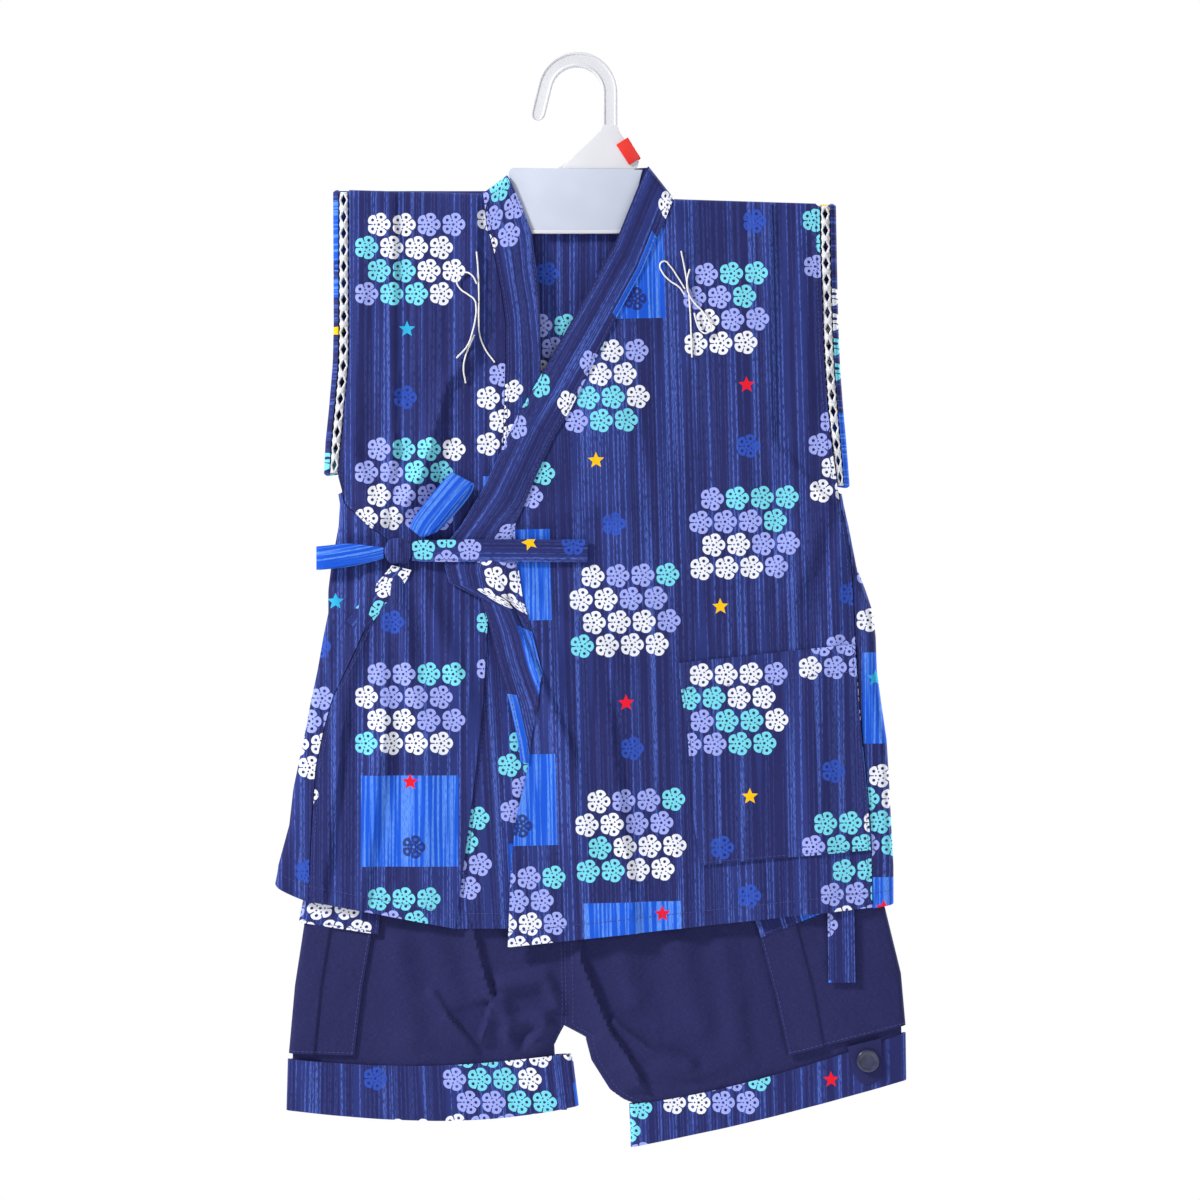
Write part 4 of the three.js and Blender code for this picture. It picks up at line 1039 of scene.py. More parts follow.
def add_back():
    columns = 88
    wrap = 9
    breaks = {r["side_z"] for r in UNDER} | {r["side_z"] for r in OVER}
    every = [*breaks, *np.arange(-98.0, -534.0, -4.0)]
    levels = sorted({z for z in every if -530 < z < -96}, reverse=True)
    kept = [z for z, above in zip(levels, [0, *levels]) if above - z > 0.8]
    hem = back_row(-548, columns)
    last = len(hem) - 1
    for k, point in enumerate(hem):
        if k <= wrap:
            point[2] = lerp(HEM["left_seam"], HEM["left"], k / wrap)
        elif k >= last - wrap:
            point[2] = lerp(HEM["right_seam"], HEM["right"], (last - k) / wrap)
        else:
            t = (k - wrap) / (last - 2 * wrap)
            point[2] = lerp(HEM["left"], HEM["right"], t) - HEM["sag"] * math.sin(math.pi * t)
    before = back_row(-530, columns)
    lower = [lerp(before, hem, t) for t in (0.25, 0.5, 0.75, 1)]
    upper = []
    for below in [0, 0.06, 0.2, 0.5, 0.9, 1.5, 2.2, 3, 5, 7, 9, 12]:
        row = back_row(-92, columns)
        x = row[:, 0]
        slope = lerp(UNDER[0]["side_z"], OVER[0]["side_z"], (x + 150) / 310)
        hollow = 1.5 * np.exp(-(((x - 63) / 20) ** 2))
        row[:, 2] = slope - hollow - below
        z = row[:, 2]
        rounded = lerp(middle_level(z) + 0.95, back_level(z), curl(below, SHOULDER_ROUND))
        row[:, 1] = lerp(rounded, CHEST["back"], smooth(0, 2.5, neck_dip(x)))
        upper.append(row)
    points = np.stack([*upper, *[back_row(z, columns) for z in kept], before, *lower])
    x, z = points[..., 0], points[..., 2]
    dip = neck_dip(x)
    points[..., 2] -= (dip + 3.5 * smooth(0, 1.2, dip)) * (1 - smooth(-82, -82 - BACK_NECK["fade"], z))
    behind = smooth(middle_level(z), back_level(z), points[..., 1])
    swell = creases(BACK_CREASES, x, z) + 0.8 * waves(x + 400, z)
    away = np.where(z > ARMHOLE_END, 0.25, 1) * smooth(-88, -130, z)
    points[..., 1] += np.maximum(swell, -0.6) * behind * away
    cloth("back", points, flat_uv(points, (700, 400)), PRINT, "hung")


# ---- Sleeves and lace ----

LACE_UNIT = 11.0
LACE_HOLE = {"half": 0.30, "reach": 0.36}
LACE_SCALLOP = 0.11


def add_insertion(node, rows, level):
    """A strip of lace: a row of diamond holes between scalloped edges."""
    high, low = rows[0]["z"], rows[-1]["z"]
    units = round((high - low) / LACE_UNIT)
    places, faces = [], []
    sections = 8

    def place(share, z):
        near, far = along(rows, "near_x", z), along(rows, "far_x", z)
        top = rows[0]["z"] - z
        y = lerp(math.copysign(0.95, level) - 0.45, level, curl(top, SHOULDER_ROUND))
        places.append((float(lerp(near, far, share)), float(y), float(z)))
        return len(places) - 1

    for k in range(units):
        start = lerp(high, low, k / units)
        end = lerp(high, low, (k + 1) / units)
        rings = []
        for j in range(sections + 1):
            t = j / sections
            z = lerp(start, end, t)
            hole = max(0.0, LACE_HOLE["half"] * (1 - abs(t - 0.5) / LACE_HOLE["reach"]))
            edge = LACE_SCALLOP * abs(math.sin(2 * math.pi * t))
            rings.append([place(share, z) for share in (edge, 0.5 - hole, 0.5 + hole, 1 - edge)])
        for upper, under in zip(rings, rings[1:]):
            faces.append((upper[0], upper[1], under[1], under[0]))
            faces.append((upper[2], upper[3], under[3], under[2]))
    obj = new_object(node + "_cloth", places, faces)
    bm = bmesh.new()
    bm.from_mesh(obj.data)
    bmesh.ops.remove_doubles(bm, verts=bm.verts, dist=0.00002)
    bmesh.ops.solidify(bm, geom=bm.faces[:], thickness=0.0009)
    bmesh.ops.recalc_face_normals(bm, faces=bm.faces)
    bm.to_mesh(obj.data)
    bm.free()
    finish_piece(obj, LACE, "lace", [node])


def add_sleeve(node, rows, outward, shift):
    levels = np.concatenate([
        [rows[0]["z"] - d for d in (0, 2, 5, 9, 14)],
        np.arange(rows[0]["z"] - 20, rows[-1]["z"] + 12, -6.0),
        [rows[-1]["z"] + d for d in (9, 5, 2, 0)],
    ])
    turns = [(t, 0) for t in np.linspace(0, 1, 15)]
    inwards = [(1, d) for d in np.linspace(0, 1, 22)[1:]]

    def place(z, t, inside, outer):
        start = along(rows, "far_x", z) + outward * (GAP + 0.2)
        bulge = (along(rows, "fold_x", z) - start) * outward
        turn = math.pi * t
        if outer:
            begin, end, reach = CHEST["front"], SLEEVE_OUTER, bulge
        else:
            begin, end, reach = CHEST["back"], SLEEVE_INNER, bulge * 0.35
        x = lerp(start + outward * reach * math.sin(turn), along(rows, "cuff_x", z), inside)
        y = lerp(begin, end, (1 - math.cos(turn)) / 2) * np.ones(len(z))
        soft = 1 + 0.5 * np.sin(0.06 * z + 0.05 * x + 1.3) + 0.5 * np.sin(0.11 * x - 0.05 * z)
        y = y + (0.9 * soft * inside**0.5 if outer else 0)
        taper = 16 * inside * smooth(-150, -270, z) * (z < -200)
        return np.stack([x * np.ones(len(z)), y, z + taper], 1)

    grid = []
    for t, inside in turns + inwards:
        outer = place(levels, t, inside, True)
        inner = place(levels, t, inside, False)[::-1]
        top = (outer[:1] + inner[-1:]) / 2 + [[0, 0, 1]]
        foot = (outer[-1:] + inner[:1]) / 2 - [[0, 0, 1]]
        grid.append(np.concatenate([top, outer, foot, inner]))
    points = np.stack(grid)
    x, z = points[..., 0], points[..., 2]
    reach = np.array([4 * t + 105 * inside for t, inside in turns + inwards])[:, None]
    uv = np.stack([z + shift[0], np.repeat(reach, points.shape[1], 1) + shift[1]], 2)
    cloth(node, points, uv, PRINT, "folded", THIN_CLOTH, ring=True)


def add_sleeves():
    for half, rows in (("right", ARM_RIGHT), ("left", ARM_LEFT)):
        for side in ("front", "back"):
            add_insertion(f"insertion_{half}_{side}", rows, CHEST[side])
    add_sleeve("sleeve_right", ARM_RIGHT, -1, (1200, 60))
    add_sleeve("sleeve_left", ARM_LEFT, 1, (1500, 300))


# ---- Patch pocket and ties ----

POCKET_ROWS = table("lx lz rx rz", [
    [66.0, -393, 182.6, -380.5],
    [73.0, -443, 187.4, -444],
    [76.0, -490, 191.4, -485],
    [81.0, -526, 193.4, -516],
])


def add_patch_pocket():
    points = panel(POCKET_ROWS, lambda x, z, d: over_depth(x, z, CLOTH + GAP), step=2.5)
    cloth("patch_pocket", points, flat_uv(points, (905, 88), 1), PRINT, "hung")


def ribbon(stations, columns=7, pieces=10, crown=0.5):
    """A smooth band through stations of x, y, z and half its width as wx, wz."""
    table_points = np.array([[s["x"], s["y"], s["z"], s["wx"], s["wz"]] for s in stations], float)
    count = len(table_points)
    t = np.linspace(0, count - 1, (count - 1) * pieces + 1)
    i = np.clip(t.astype(int), 0, count - 2)
    f = (t - i)[:, None]
    p0, p1 = table_points[np.maximum(i - 1, 0)], table_points[i]
    p2, p3 = table_points[i + 1], table_points[np.minimum(i + 2, count - 1)]
    bend = 2 * p0 - 5 * p1 + 4 * p2 - p3
    line = 0.5 * (2 * p1 + (p2 - p0) * f + bend * f**2 + (3 * p1 - p0 - 3 * p2 + p3) * f**3)
    side = np.linspace(-1, 1, columns)[None, :]
    x = line[:, 0:1] + side * line[:, 3:4]
    y = line[:, 1:2] - crown * (1 - side**2) * np.ones((len(line), 1))
    z = line[:, 2:3] + side * line[:, 4:5]
    return np.stack([x, y, z], 2)


TIES = {
    "tie_loop_side": table("x y z wx wz", [
        [-127.2, -9.6, -320.5, 0, 3.4],
        [-136, -10.6, -321, 0, 5.0],
        [-150, -11.0, -321.5, 0, 7.0],
        [-166, -10.6, -323.5, 0, 7.6],
        [-170.8, -9.0, -324, 0, 7.6],
        [-166, -7.4, -324, 0, 7.4],
        [-150, -7.1, -323, 0, 6.6],
        [-136, -7.3, -322, 0, 4.6],
        [-127.2, -7.7, -321, 0, 3.2],
    ]),
    "tie_loop_top": table("x y z wx wz", [
        [-106.5, -9.9, -307.0, 3.6, -3.0],
        [-100, -10.7, -300.5, 5.8, -4.8],
        [-89, -11.0, -287, 6.2, -4.8],
        [-79.5, -10.6, -275.8, 6.9, -3.9],
        [-75.2, -9.1, -271.5, 7.0, -3.7],
        [-76, -7.6, -276.6, 6.8, -4.2],
        [-84.5, -7.3, -288, 6.2, -4.8],
        [-96, -7.6, -301, 5.4, -4.6],
        [-104.5, -8.1, -307.6, 3.2, -2.8],
    ]),
    "tie_end_long": table("x y z wx wz", [
        [-108.3, -9.0, -319.2, 0, 6.6],
        [-96, -9.0, -319.2, 0, 7.1],
        [-66, -9.0, -319.0, 0, 7.3],
        [-36, -9.0, -319.0, 0, 7.4],
        [-14, -8.8, -319.2, 0, 7.4],
        [7, -8.6, -319.2, 0, 7.5],
    ]),
    "tie_end_short": table("x y z wx wz", [
        [-115.2, -7.4, -330.2, 6.4, -1.6],
        [-121, -7.4, -339, 6.4, -3.4],
        [-133, -7.4, -353, 5.9, -4.0],
        [-146.5, -7.2, -369.3, 5.9, -4.0],
    ]),
    "tie_inner": table("x y z wx wz", [
        [170.0, -2.3, -318, 7.0, 0],
        [172.0, -2.6, -360, 8.2, 0],
        [172.5, -4.1, -440, 8.6, 0],
        [173.5, -4.2, -530, 8.7, 0],
        [174.6, -4.3, -603.5, 8.8, 0],
    ]),
}


TIE_SHIFTS = {
    "tie_loop_side": (0, 0),
    "tie_loop_top": (40, 90),
    "tie_end_long": (36, 126),
    "tie_end_short": (30, 860),
    "tie_inner": (470, 300),
}


def add_ties():
    for name, rows in TIES.items():
        points = ribbon(rows, crown=0.0 if name == "tie_inner" else 0.35)
        material, held = (PRINT_BRIGHT, "folded") if "loop" in name else (PRINT, "hung")
        rests_on = ["front_left_cloth"] if name == "tie_inner" else ["tie_knot"]
        uv = band_uv(points, TIE_SHIFTS[name])
        cloth(name, points, uv, material, held, THIN_CLOTH)
    add_knot()


KNOT = {"x": -117.5, "z": -319.3, "wide": 17.4, "tall": 16.4, "front": -12, "back": -5.8}


def add_knot():
    """A tied knot: a rounded pad whose cloth is drawn in towards its corners."""
    rings, columns = 22, 44
    places, uv = [], []
    middle = (KNOT["front"] + KNOT["back"]) / 2
    thick = (KNOT["back"] - KNOT["front"]) / 2
    for j in range(rings + 1):
        lift = math.pi * j / rings
        for i in range(columns):
            turn = 2 * math.pi * i / columns
            c, s = math.cos(turn), math.sin(turn)
            square = (abs(c) ** 3.2 + abs(s) ** 3.2) ** (-1 / 3.2)
            reach = math.sin(lift) ** 0.7
            pleat = 1 + 0.035 * math.sin(5 * turn + 2.2 * c) * reach
            x = KNOT["wide"] / 2 * square * c * reach * pleat
            z = KNOT["tall"] / 2 * square * s * reach * pleat
            fold = 0.5 * math.sin(0.75 * (x + 0.4 * z)) * (1 if lift < math.pi / 2 else 0)
            swell = math.copysign(abs(math.cos(lift)) ** 0.6, math.cos(lift))
            y = middle - (thick - 0.3) * swell - fold * reach * 0.6
            places.append((KNOT["x"] + x, y, KNOT["z"] + z))
            uv.append((x * 1.2 + 2000, z * 1.2 + 30))
    faces = []
    for j in range(rings):
        for i in range(columns):
            nxt = (i + 1) % columns
            a, b = j * columns + i, j * columns + nxt
            faces.append((a, b, b + columns, a + columns))
    obj = new_object("tie_knot_cloth", places, faces, uv, sharp=80)
    clean_mesh(obj.data, 0.00001, outward=False)
    finish_piece(obj, PRINT_NAVY, "printed_cotton", ["tie_knot"])


# ---- Shorts ----

LEG_MIDDLE = (SHORTS["front"] + SHORTS["back"]) / 2
LEG_FOLD_GAIN = 2.6
BACK_FOLDS = {"gain": 1.1, "middle": 8}
LEG_ROUND = LEG_MIDDLE - SHORTS["front"]


def leg_bulge(x, z, turned):
    """The folds' height. The back has the front's folds turned about, lower and softer."""
    cuff_top = np.where(x < 6, -655, lerp(-687, -637, (x - 35) / 181.6))
    seen = smooth(-530, -560, z) * smooth(1, 15, z - cuff_top)
    free = smooth(-140, -120, x) * smooth(124, 108, x)
    folds = creases(LEG_CREASES, x if turned < 0 else BACK_FOLDS["middle"] - x, z)
    gain = LEG_FOLD_GAIN if turned < 0 else BACK_FOLDS["gain"]
    return gain * folds * seen * free + 0.6 * (waves(x, z) + 0.4) * free


CENTRE_SEAM = 0.75


def add_legs():
    halves = [("right", LEG_RIGHT, -1, (40, 60)), ("left", LEG_LEFT, 1, (300, 60))]
    sides = [("front", SHORTS["front"], -1, 2.0), ("back", SHORTS["back"], 1, 2.4)]
    for half, rows, outward, shift in halves:
        edges = rows_of(rows, ("out_x", "out_z"), ("in_x", "in_z"))
        if outward < 0:
            for e in edges:
                e["rx"] += CENTRE_SEAM * (e["rz"] > -636)
        if outward > 0:
            edges = [{"lx": e["rx"], "lz": e["rz"], "rx": e["lx"], "rz": e["lz"]} for e in edges]
        for side, level, turned, step in sides:
            def depth(x, z, d):
                outer = np.maximum((along(rows, "out_x", z, "out_z") - x) * outward, 0)
                inner = np.where(z < -640, (x - along(rows, "in_x", z, "in_z")) * outward, LEG_ROUND)
                outline = np.minimum(curl(outer, LEG_ROUND), curl(np.maximum(inner, 0), LEG_ROUND))
                swell = leg_bulge(x, z, turned)
                return lerp(LEG_MIDDLE + turned * 0.8, level + turned * swell, outline)

            points = panel(edges, depth, step=step, left=1.7, right=1.7)
            cloth(f"leg_{half}_{side}", points, flat_uv(points, shift), NAVY, "hung")


def flat_ring(left, right, front, back, top, foot, step, rows=12, swell=None):
    """A flattened ring. left, right, top and foot give its edges."""
    radius = (back - front) / 2
    middle = (back + front) / 2
    width = right(0) - left(0)
    u = shares(width, step, radius, radius)
    grid = []
    for t in np.linspace(0, 1, rows):
        x0, x1 = left(t), right(t)
        x = lerp(x0, x1, u)
        outline = curl(np.minimum(x - x0, x1 - x), radius)
        z = lerp(top(u), foot(u), t)
        wave = swell(x, z) if swell else 0
        ahead = np.stack([x, lerp(middle, front - wave, outline), z], 1)
        behind = np.stack([x, lerp(middle, back + wave, outline), z], 1)[1:-1]
        grid.append(np.concatenate([ahead, behind[::-1]]))
    return np.stack(grid)


def ring_uv(points, shift):
    steps = np.linalg.norm(np.diff(points[0], axis=0), axis=1)
    around = np.concatenate([[0], np.cumsum(steps)])[None, :] * np.ones((len(points), 1))
    return np.stack([around + shift[0], points[..., 2] + shift[1]], 2)


def cuff_wave(x, z):
    return 0.5 + 0.35 * np.sin(0.07 * x + 0.4) + 0.25 * np.sin(0.17 * x + 0.06 * z + 2)


def add_shorts_rings():
    points = flat_ring(lambda t: -113, lambda t: 123, SHORTS["front"], SHORTS["back"],
                       lambda u: -372 + 0 * u, lambda u: -397 + 0 * u, 3, 10,
                       lambda x, z: 0.3 + 0.3 * np.sin(0.9 * x))
    uv = ring_uv(points, (0, 0))
    cloth("waistband", points, uv, NAVY, "gathered", ring=True)

    front = SHORTS["front"] - POCKET_OUT
    back = SHORTS["back"] + POCKET_OUT
    points = flat_ring(lambda t: lerp(-190.5, -191.4, t), lambda t: lerp(-3.5, 0.7, t), front, back,
                       lambda u: -654.4 - 5 * np.sin(np.pi * np.minimum(1, u * 1.05)) + 3 * u * u,
                       lambda u: -688 - 7 * np.sin(np.pi * np.clip(u * 0.95, 0, 1)) + 4 * u**6,
                       2.5, 16, cuff_wave)
    uv = ring_uv(points, (1020, 880))
    cloth("cuff_right", points, uv, PRINT, "folded", ring=True)
    points = flat_ring(lambda t: lerp(35, 36, t), lambda t: lerp(216.6, 217, t), front, back,
                       lambda u: lerp(-687, -637, u) - 4 * np.sin(np.pi * u) + 3 * (1 - u) ** 8,
                       lambda u: lerp(-712.5, -668, u) - 2.5 * np.sin(np.pi * u), 2.5, 14, cuff_wave)
    uv = ring_uv(points, (620, 1015))
    cloth("cuff_left", points, uv, PRINT, "folded", ring=True)


def round_leg(rows, outward, out, step=3.0, relief=None, crease=0.5):
    """A piece that goes round the outside of a leg, from its front edge to its back edge."""
    front, back = SHORTS["front"] - out, SHORTS["back"] + out
    radius, middle = (back - front) / 2, (back + front) / 2
    keys = ("edge_x", "edge_z", "side_x", "side_z")
    stations = []
    for high, low in zip(rows, rows[1:]):
        count = max(2, round((high["side_z"] - low["side_z"]) / step))
        for t in np.linspace(0, 1, count + 1)[0 if not stations else 1:]:
            stations.append([lerp(high[key], low[key], t) for key in keys])
    grid = []
    for edge_x, edge_z, side_x, side_z in stations:
        width = (side_x - edge_x) * outward
        near = np.array([0.02, 0.08, 0.18, 0.32, 0.5, 0.72, 1.0]) * radius / width
        fold = crease + np.array([-0.01, -0.004, 0.004, 0.01])
        face = np.sort(np.concatenate([np.linspace(1, near[-1], 24)[:-1], fold]))[::-1]
        share = np.concatenate([face, near[::-1]])
        x = side_x - outward * width * share
        z = lerp(side_z, edge_z, share)
        outline = curl(width * share, radius)
        swell = relief(share) if relief else 0 * share
        ahead = np.stack([x, lerp(middle, front - swell, outline), z], 1)
        behind = np.stack([x, lerp(middle, back + swell, outline), z], 1)[::-1]
        grid.append(np.concatenate([ahead, [[side_x, middle, side_z]], behind]))
    return np.stack(grid)


POCKETS = {
    "right": table("edge_x edge_z side_x side_z", [
        [-131, -545, -176.5, -545],
        [-136, -575, -181.5, -578],
        [-141.5, -606, -185.8, -606],
        [-147, -652, -189.8, -650.5],
    ]),
    "left": table("edge_x edge_z side_x side_z", [
        [114, -552, 194.5, -522],
        [121, -575, 203.0, -555],
        [131, -613, 213.5, -598],
        [139.5, -652, 216.5, -632],
    ]),
}
FLAPS = {
    "right": table("edge_x edge_z side_x side_z", [
        [-129, -538, -175.5, -529],
        [-130, -556, -179.8, -546],
        [-131, -572, -183.2, -564],
    ]),
    "left": table("edge_x edge_z side_x side_z", [
        [112, -542, 192.0, -510],
        [116, -558, 198.4, -526],
        [121.5, -574, 203.8, -541],
    ]),
}


PLEAT = {"right": 0.38, "left": 0.70}


def pleat(half):
    """The pocket's face steps down to the viewer's right at its pleat."""
    at = PLEAT[half]
    if half == "right":
        return lambda share: 1.1 * smooth(at + 0.01, at - 0.01, share) * smooth(-0.2, 0.3, share) + 0.1
    return lambda share: 1.1 * smooth(at - 0.01, at + 0.01, share) * smooth(1.4, 0.8, share) + 0.1


def add_cargo_pockets():
    for half, outward, shift in (("right", -1, 500), ("left", 1, 800)):
        points = round_leg(POCKETS[half], outward, POCKET_OUT, 3.0, pleat(half), PLEAT[half])
        cloth(f"cargo_pocket_{half}", points, ring_uv(points, (shift, 0)), NAVY, "hung")
        points = round_leg(FLAPS[half], outward, FLAP_OUT, 2.5)
        cloth(f"pocket_flap_{half}", points, ring_uv(points, (shift + 300, 260)), PRINT,
              "hung", THIN_CLOTH)


# ---- Tab, button and hanger ----

def plate(name, outline, front, back, bevel, holes=()):
    """A flat plate with rounded edges, from an outline in X and Z."""
    curve = bpy.data.curves.new(name, "CURVE")
    curve.dimensions = "2D"
    curve.fill_mode = "BOTH"
    curve.extrude = (abs(back - front) / 2 - bevel) * MM
    curve.bevel_depth = bevel * MM
    curve.bevel_resolution = 3
    curve.offset = -bevel * MM
    for points in (outline, *holes):
        spline = curve.splines.new("POLY")
        spline.points.add(len(points) - 1)
        for point, (x, z) in zip(spline.points, points):
            point.co = (x * MM, z * MM, 0, 1)
        spline.use_cyclic_u = True
    temporary = bpy.data.objects.new(name, curve)
    bpy.context.scene.collection.objects.link(temporary)
    bpy.context.view_layer.update()
    mesh = bpy.data.meshes.new_from_object(temporary)
    bpy.data.objects.remove(temporary)
    for vertex in mesh.vertices:
        x, z, depth = vertex.co
        vertex.co = (x, -depth + (front + back) / 2 * MM, z)
    clean_mesh(mesh, 0.00002)
    mesh.shade_smooth()
    mesh.set_sharp_from_angle(angle=math.radians(35))
    obj = bpy.data.objects.new(name, mesh)
    bpy.context.scene.collection.objects.link(obj)
    return obj


def arc(centre_x, centre_z, radius, start, end, count=24):
    """Points on an arc between two angles in degrees."""
    angles = np.radians(np.linspace(start, end, count))
    return [(centre_x + radius * math.cos(a), centre_z + radius * math.sin(a)) for a in angles]


HOOK = {"z": -16.4, "inner": 16.4, "outer": 27, "turn": 166, "arm": 19, "front": -1, "back": 2.6}
STEM_FOOT_Z = -40
NECK_FOOT = {"left": -6, "right": 41, "z": -62, "under_board": -67}


# Across the bar and front to back: a channel between two raised edges, and a plain rounded back
HOOK_SECTION = [
    (-5.3, 0), (-5.0, -1.2), (-4.3, -1.8), (-3.5, -1.8), (-2.9, -1.35), (0, -1.25), (2.9, -1.35),
    (3.5, -1.8), (4.3, -1.8), (5.0, -1.2), (5.3, 0), (5.0, 1.2), (4.3, 1.8), (0, 1.8), (-4.3, 1.8),
    (-5.0, 1.2),
]


def add_hook():
    """The hook: a channelled bar that runs from its rounded tip, over the curve and down the stem."""
    half = (HOOK["outer"] - HOOK["inner"]) / 2
    radius = (HOOK["outer"] + HOOK["inner"]) / 2
    turn = math.radians(HOOK["turn"])
    run = np.array([math.sin(turn), -math.cos(turn)])
    arm_top = np.array([radius * math.cos(turn), HOOK["z"] + radius * math.sin(turn)])
    tip = arm_top - run * HOOK["arm"]
    stations = []
    for round_off in np.linspace(0, math.pi / 2, 9):
        place = tip - run * half * math.cos(round_off)
        stations.append((*place, *run, max(math.sin(round_off), 0.03)))
    for share in np.linspace(0, 1, 7)[1:-1]:
        stations.append((*lerp(tip, arm_top, share), *run, 1))
    for angle in np.linspace(turn, 0, 56):
        c, sine = math.cos(angle), math.sin(angle)
        stations.append((radius * c, HOOK["z"] + radius * sine, sine, -c, 1))
    for z in np.linspace(HOOK["z"], STEM_FOOT_Z - 3, 8)[1:]:
        stations.append((radius, z, 0, -1, 1))
    middle = (HOOK["front"] + HOOK["back"]) / 2
    places = []
    for x, z, run_x, run_z, size in stations:
        for across, depth in HOOK_SECTION:
            y = middle + depth * min(1, size + 0.25)
            places.append((x + run_z * across * size, y, z - run_x * across * size))
    count = len(HOOK_SECTION)
    faces = []
    for k in range(len(stations) - 1):
        for i in range(count):
            a, b = k * count + i, k * count + (i + 1) % count
            faces.append((a, b, b + count, a + count))
    faces.append(tuple(range(count)))
    faces.append(tuple(range(len(places) - count, len(places)))[::-1])
    hook = new_object("hanger_hook_body", places, faces, sharp=32)
    smooth_edges = hook.modifiers.new("round", "BEVEL")
    smooth_edges.width = 0.3 * MM
    smooth_edges.segments = 2
    finish_piece(hook, PLASTIC, "hanger_plastic", ["hanger_hook"])


def add_hanger():
    add_hook()
    left, right = HOOK["inner"], HOOK["outer"]
    foot_left, foot_right = NECK_FOOT["left"], NECK_FOOT["right"]
    neck_line = [
        (foot_left - 4, NECK_FOOT["under_board"]), (foot_left, NECK_FOOT["z"]),
        (left - 4.5, STEM_FOOT_Z - 5), (left - 0.9, STEM_FOOT_Z - 1.2), (left, STEM_FOOT_Z + 2),
        (right, STEM_FOOT_Z + 2), (right + 1.2, STEM_FOOT_Z - 2), (foot_right, NECK_FOOT["z"]),
        (foot_right - 1.5, NECK_FOOT["under_board"]),
    ]
    neck = plate("hanger_neck_web", neck_line, HOOK["front"] - 0.15, HOOK["back"] - 0.2, 0.4)
    finish_piece(neck, PLASTIC, "hanger_plastic")

    corner = arc(-41.2, -70.4, 4, 180, 90, 8)
    board_line = [(-35, -110), (-45.0, -71.5), *corner, (43.2, -67.8), (33, -110)]
    board = plate("hanger_board_plate", board_line, -2.3, -1.3, 0.3)
    finish_piece(board, BOARD, "board_plastic", ["hanger_board"])
    rim_line = [(-31, -107.6), (-30.4, -109.8), (30.8, -109.8), (31.4, -107.6)]
    rim = plate("hanger_board_rim", rim_line, -3.0, -2.2, 0.3)
    finish_piece(rim, PLASTIC, "hanger_plastic")
    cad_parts["hanger_arms"].data.materials.clear()
    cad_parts["hanger_arms"].data.materials.append(PLASTIC)

    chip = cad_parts["size_chip"]
    copy = chip.data.copy()
    body = bpy.data.objects.new("size_chip_clip", copy)
    bpy.context.scene.collection.objects.link(body)
    bm = bmesh.new()
    bm.from_mesh(copy)
    bmesh.ops.remove_doubles(bm, verts=bm.verts, dist=0.00002)
    bmesh.ops.dissolve_limit(bm, angle_limit=math.radians(2), verts=bm.verts, edges=bm.edges)
    bmesh.ops.bevel(bm, geom=bm.edges[:], offset=0.00045, segments=3, affect="EDGES", profile=0.5)
    bm.to_mesh(copy)
    bm.free()
    copy.shade_smooth()
    finish_piece(body, CHIP, "chip_plastic", ["size_chip"])


BUTTON = {"x": 191.7, "z": -655, "radius": 7.6, "thick": 2.6, "hole": 0.95, "pitch": 1.75, "back": -3.9}


def add_tab_and_button():
    tab_line = [(178.4, -646), (180.4, -655), (182.4, -662.5)]
    tab_line += arc(192, -662, 8.9, 200, 355, 24)
    tab_line += [(200.8, -655), (200.6, -640.5)]
    tab = plate("cuff_tab_cloth", tab_line, -3.65, -2.45, 0.4)
    finish_piece(tab, NAVY, "navy_cotton", ["cuff_tab"])

    radius, thick = BUTTON["radius"], BUTTON["thick"]
    profile = [
        (0.0, thick - 1.0), (radius - 3.4, thick - 1.0), (radius - 2.6, thick - 0.85),
        (radius - 1.9, thick - 0.2), (radius - 1.3, thick), (radius - 0.7, thick - 0.1),
        (radius - 0.15, thick - 0.7), (radius, 1.2), (radius - 0.5, 0.35), (radius - 1.6, 0.0), (0.0, 0.0),
    ]
    segments = 72
    places, faces = [], []
    for r, height in profile:
        for i in range(segments):
            turn = 2 * math.pi * i / segments
            x, z = BUTTON["x"] + r * math.cos(turn), BUTTON["z"] + r * math.sin(turn)
            places.append((x, BUTTON["back"] - height, z))
    for j in range(len(profile) - 1):
        for i in range(segments):
            a, b = j * segments + i, j * segments + (i + 1) % segments
            faces.append((a, b, b + segments, a + segments))
    button = new_object("cuff_button_disc", places, faces, sharp=40)
    clean_mesh(button.data, 0.000005)
    drill = bmesh.new()
    for dx, dz in ((1, 1), (1, -1), (-1, 1), (-1, -1)):
        made = bmesh.ops.create_cone(drill, cap_ends=True, segments=20, radius1=BUTTON["hole"] * MM,
                                     radius2=BUTTON["hole"] * MM, depth=0.012)
        for vertex in made["verts"]:
            x, y, z = vertex.co
            vertex.co = (x + (BUTTON["x"] + dx * BUTTON["pitch"]) * MM, z + BUTTON["back"] * MM,
                         y + (BUTTON["z"] + dz * BUTTON["pitch"]) * MM)
    drill_mesh = bpy.data.meshes.new("drill")
    drill.to_mesh(drill_mesh)
    drill.free()
    tool = bpy.data.objects.new("drill", drill_mesh)
    bpy.context.scene.collection.objects.link(tool)
    cut = button.modifiers.new("holes", "BOOLEAN")
    cut.operation = "DIFFERENCE"
    cut.object = tool
    bpy.context.view_layer.update()
    drilled = button.evaluated_get(bpy.context.evaluated_depsgraph_get())
    mesh = bpy.data.meshes.new_from_object(drilled)
    button.modifiers.clear()
    button.data = mesh
    bpy.data.objects.remove(tool)
    mesh.set_sharp_from_angle(angle=math.radians(40))
    finish_piece(button, BUTTON_RESIN, "button_plastic", ["cuff_button"])


# ---- Topstitching ----

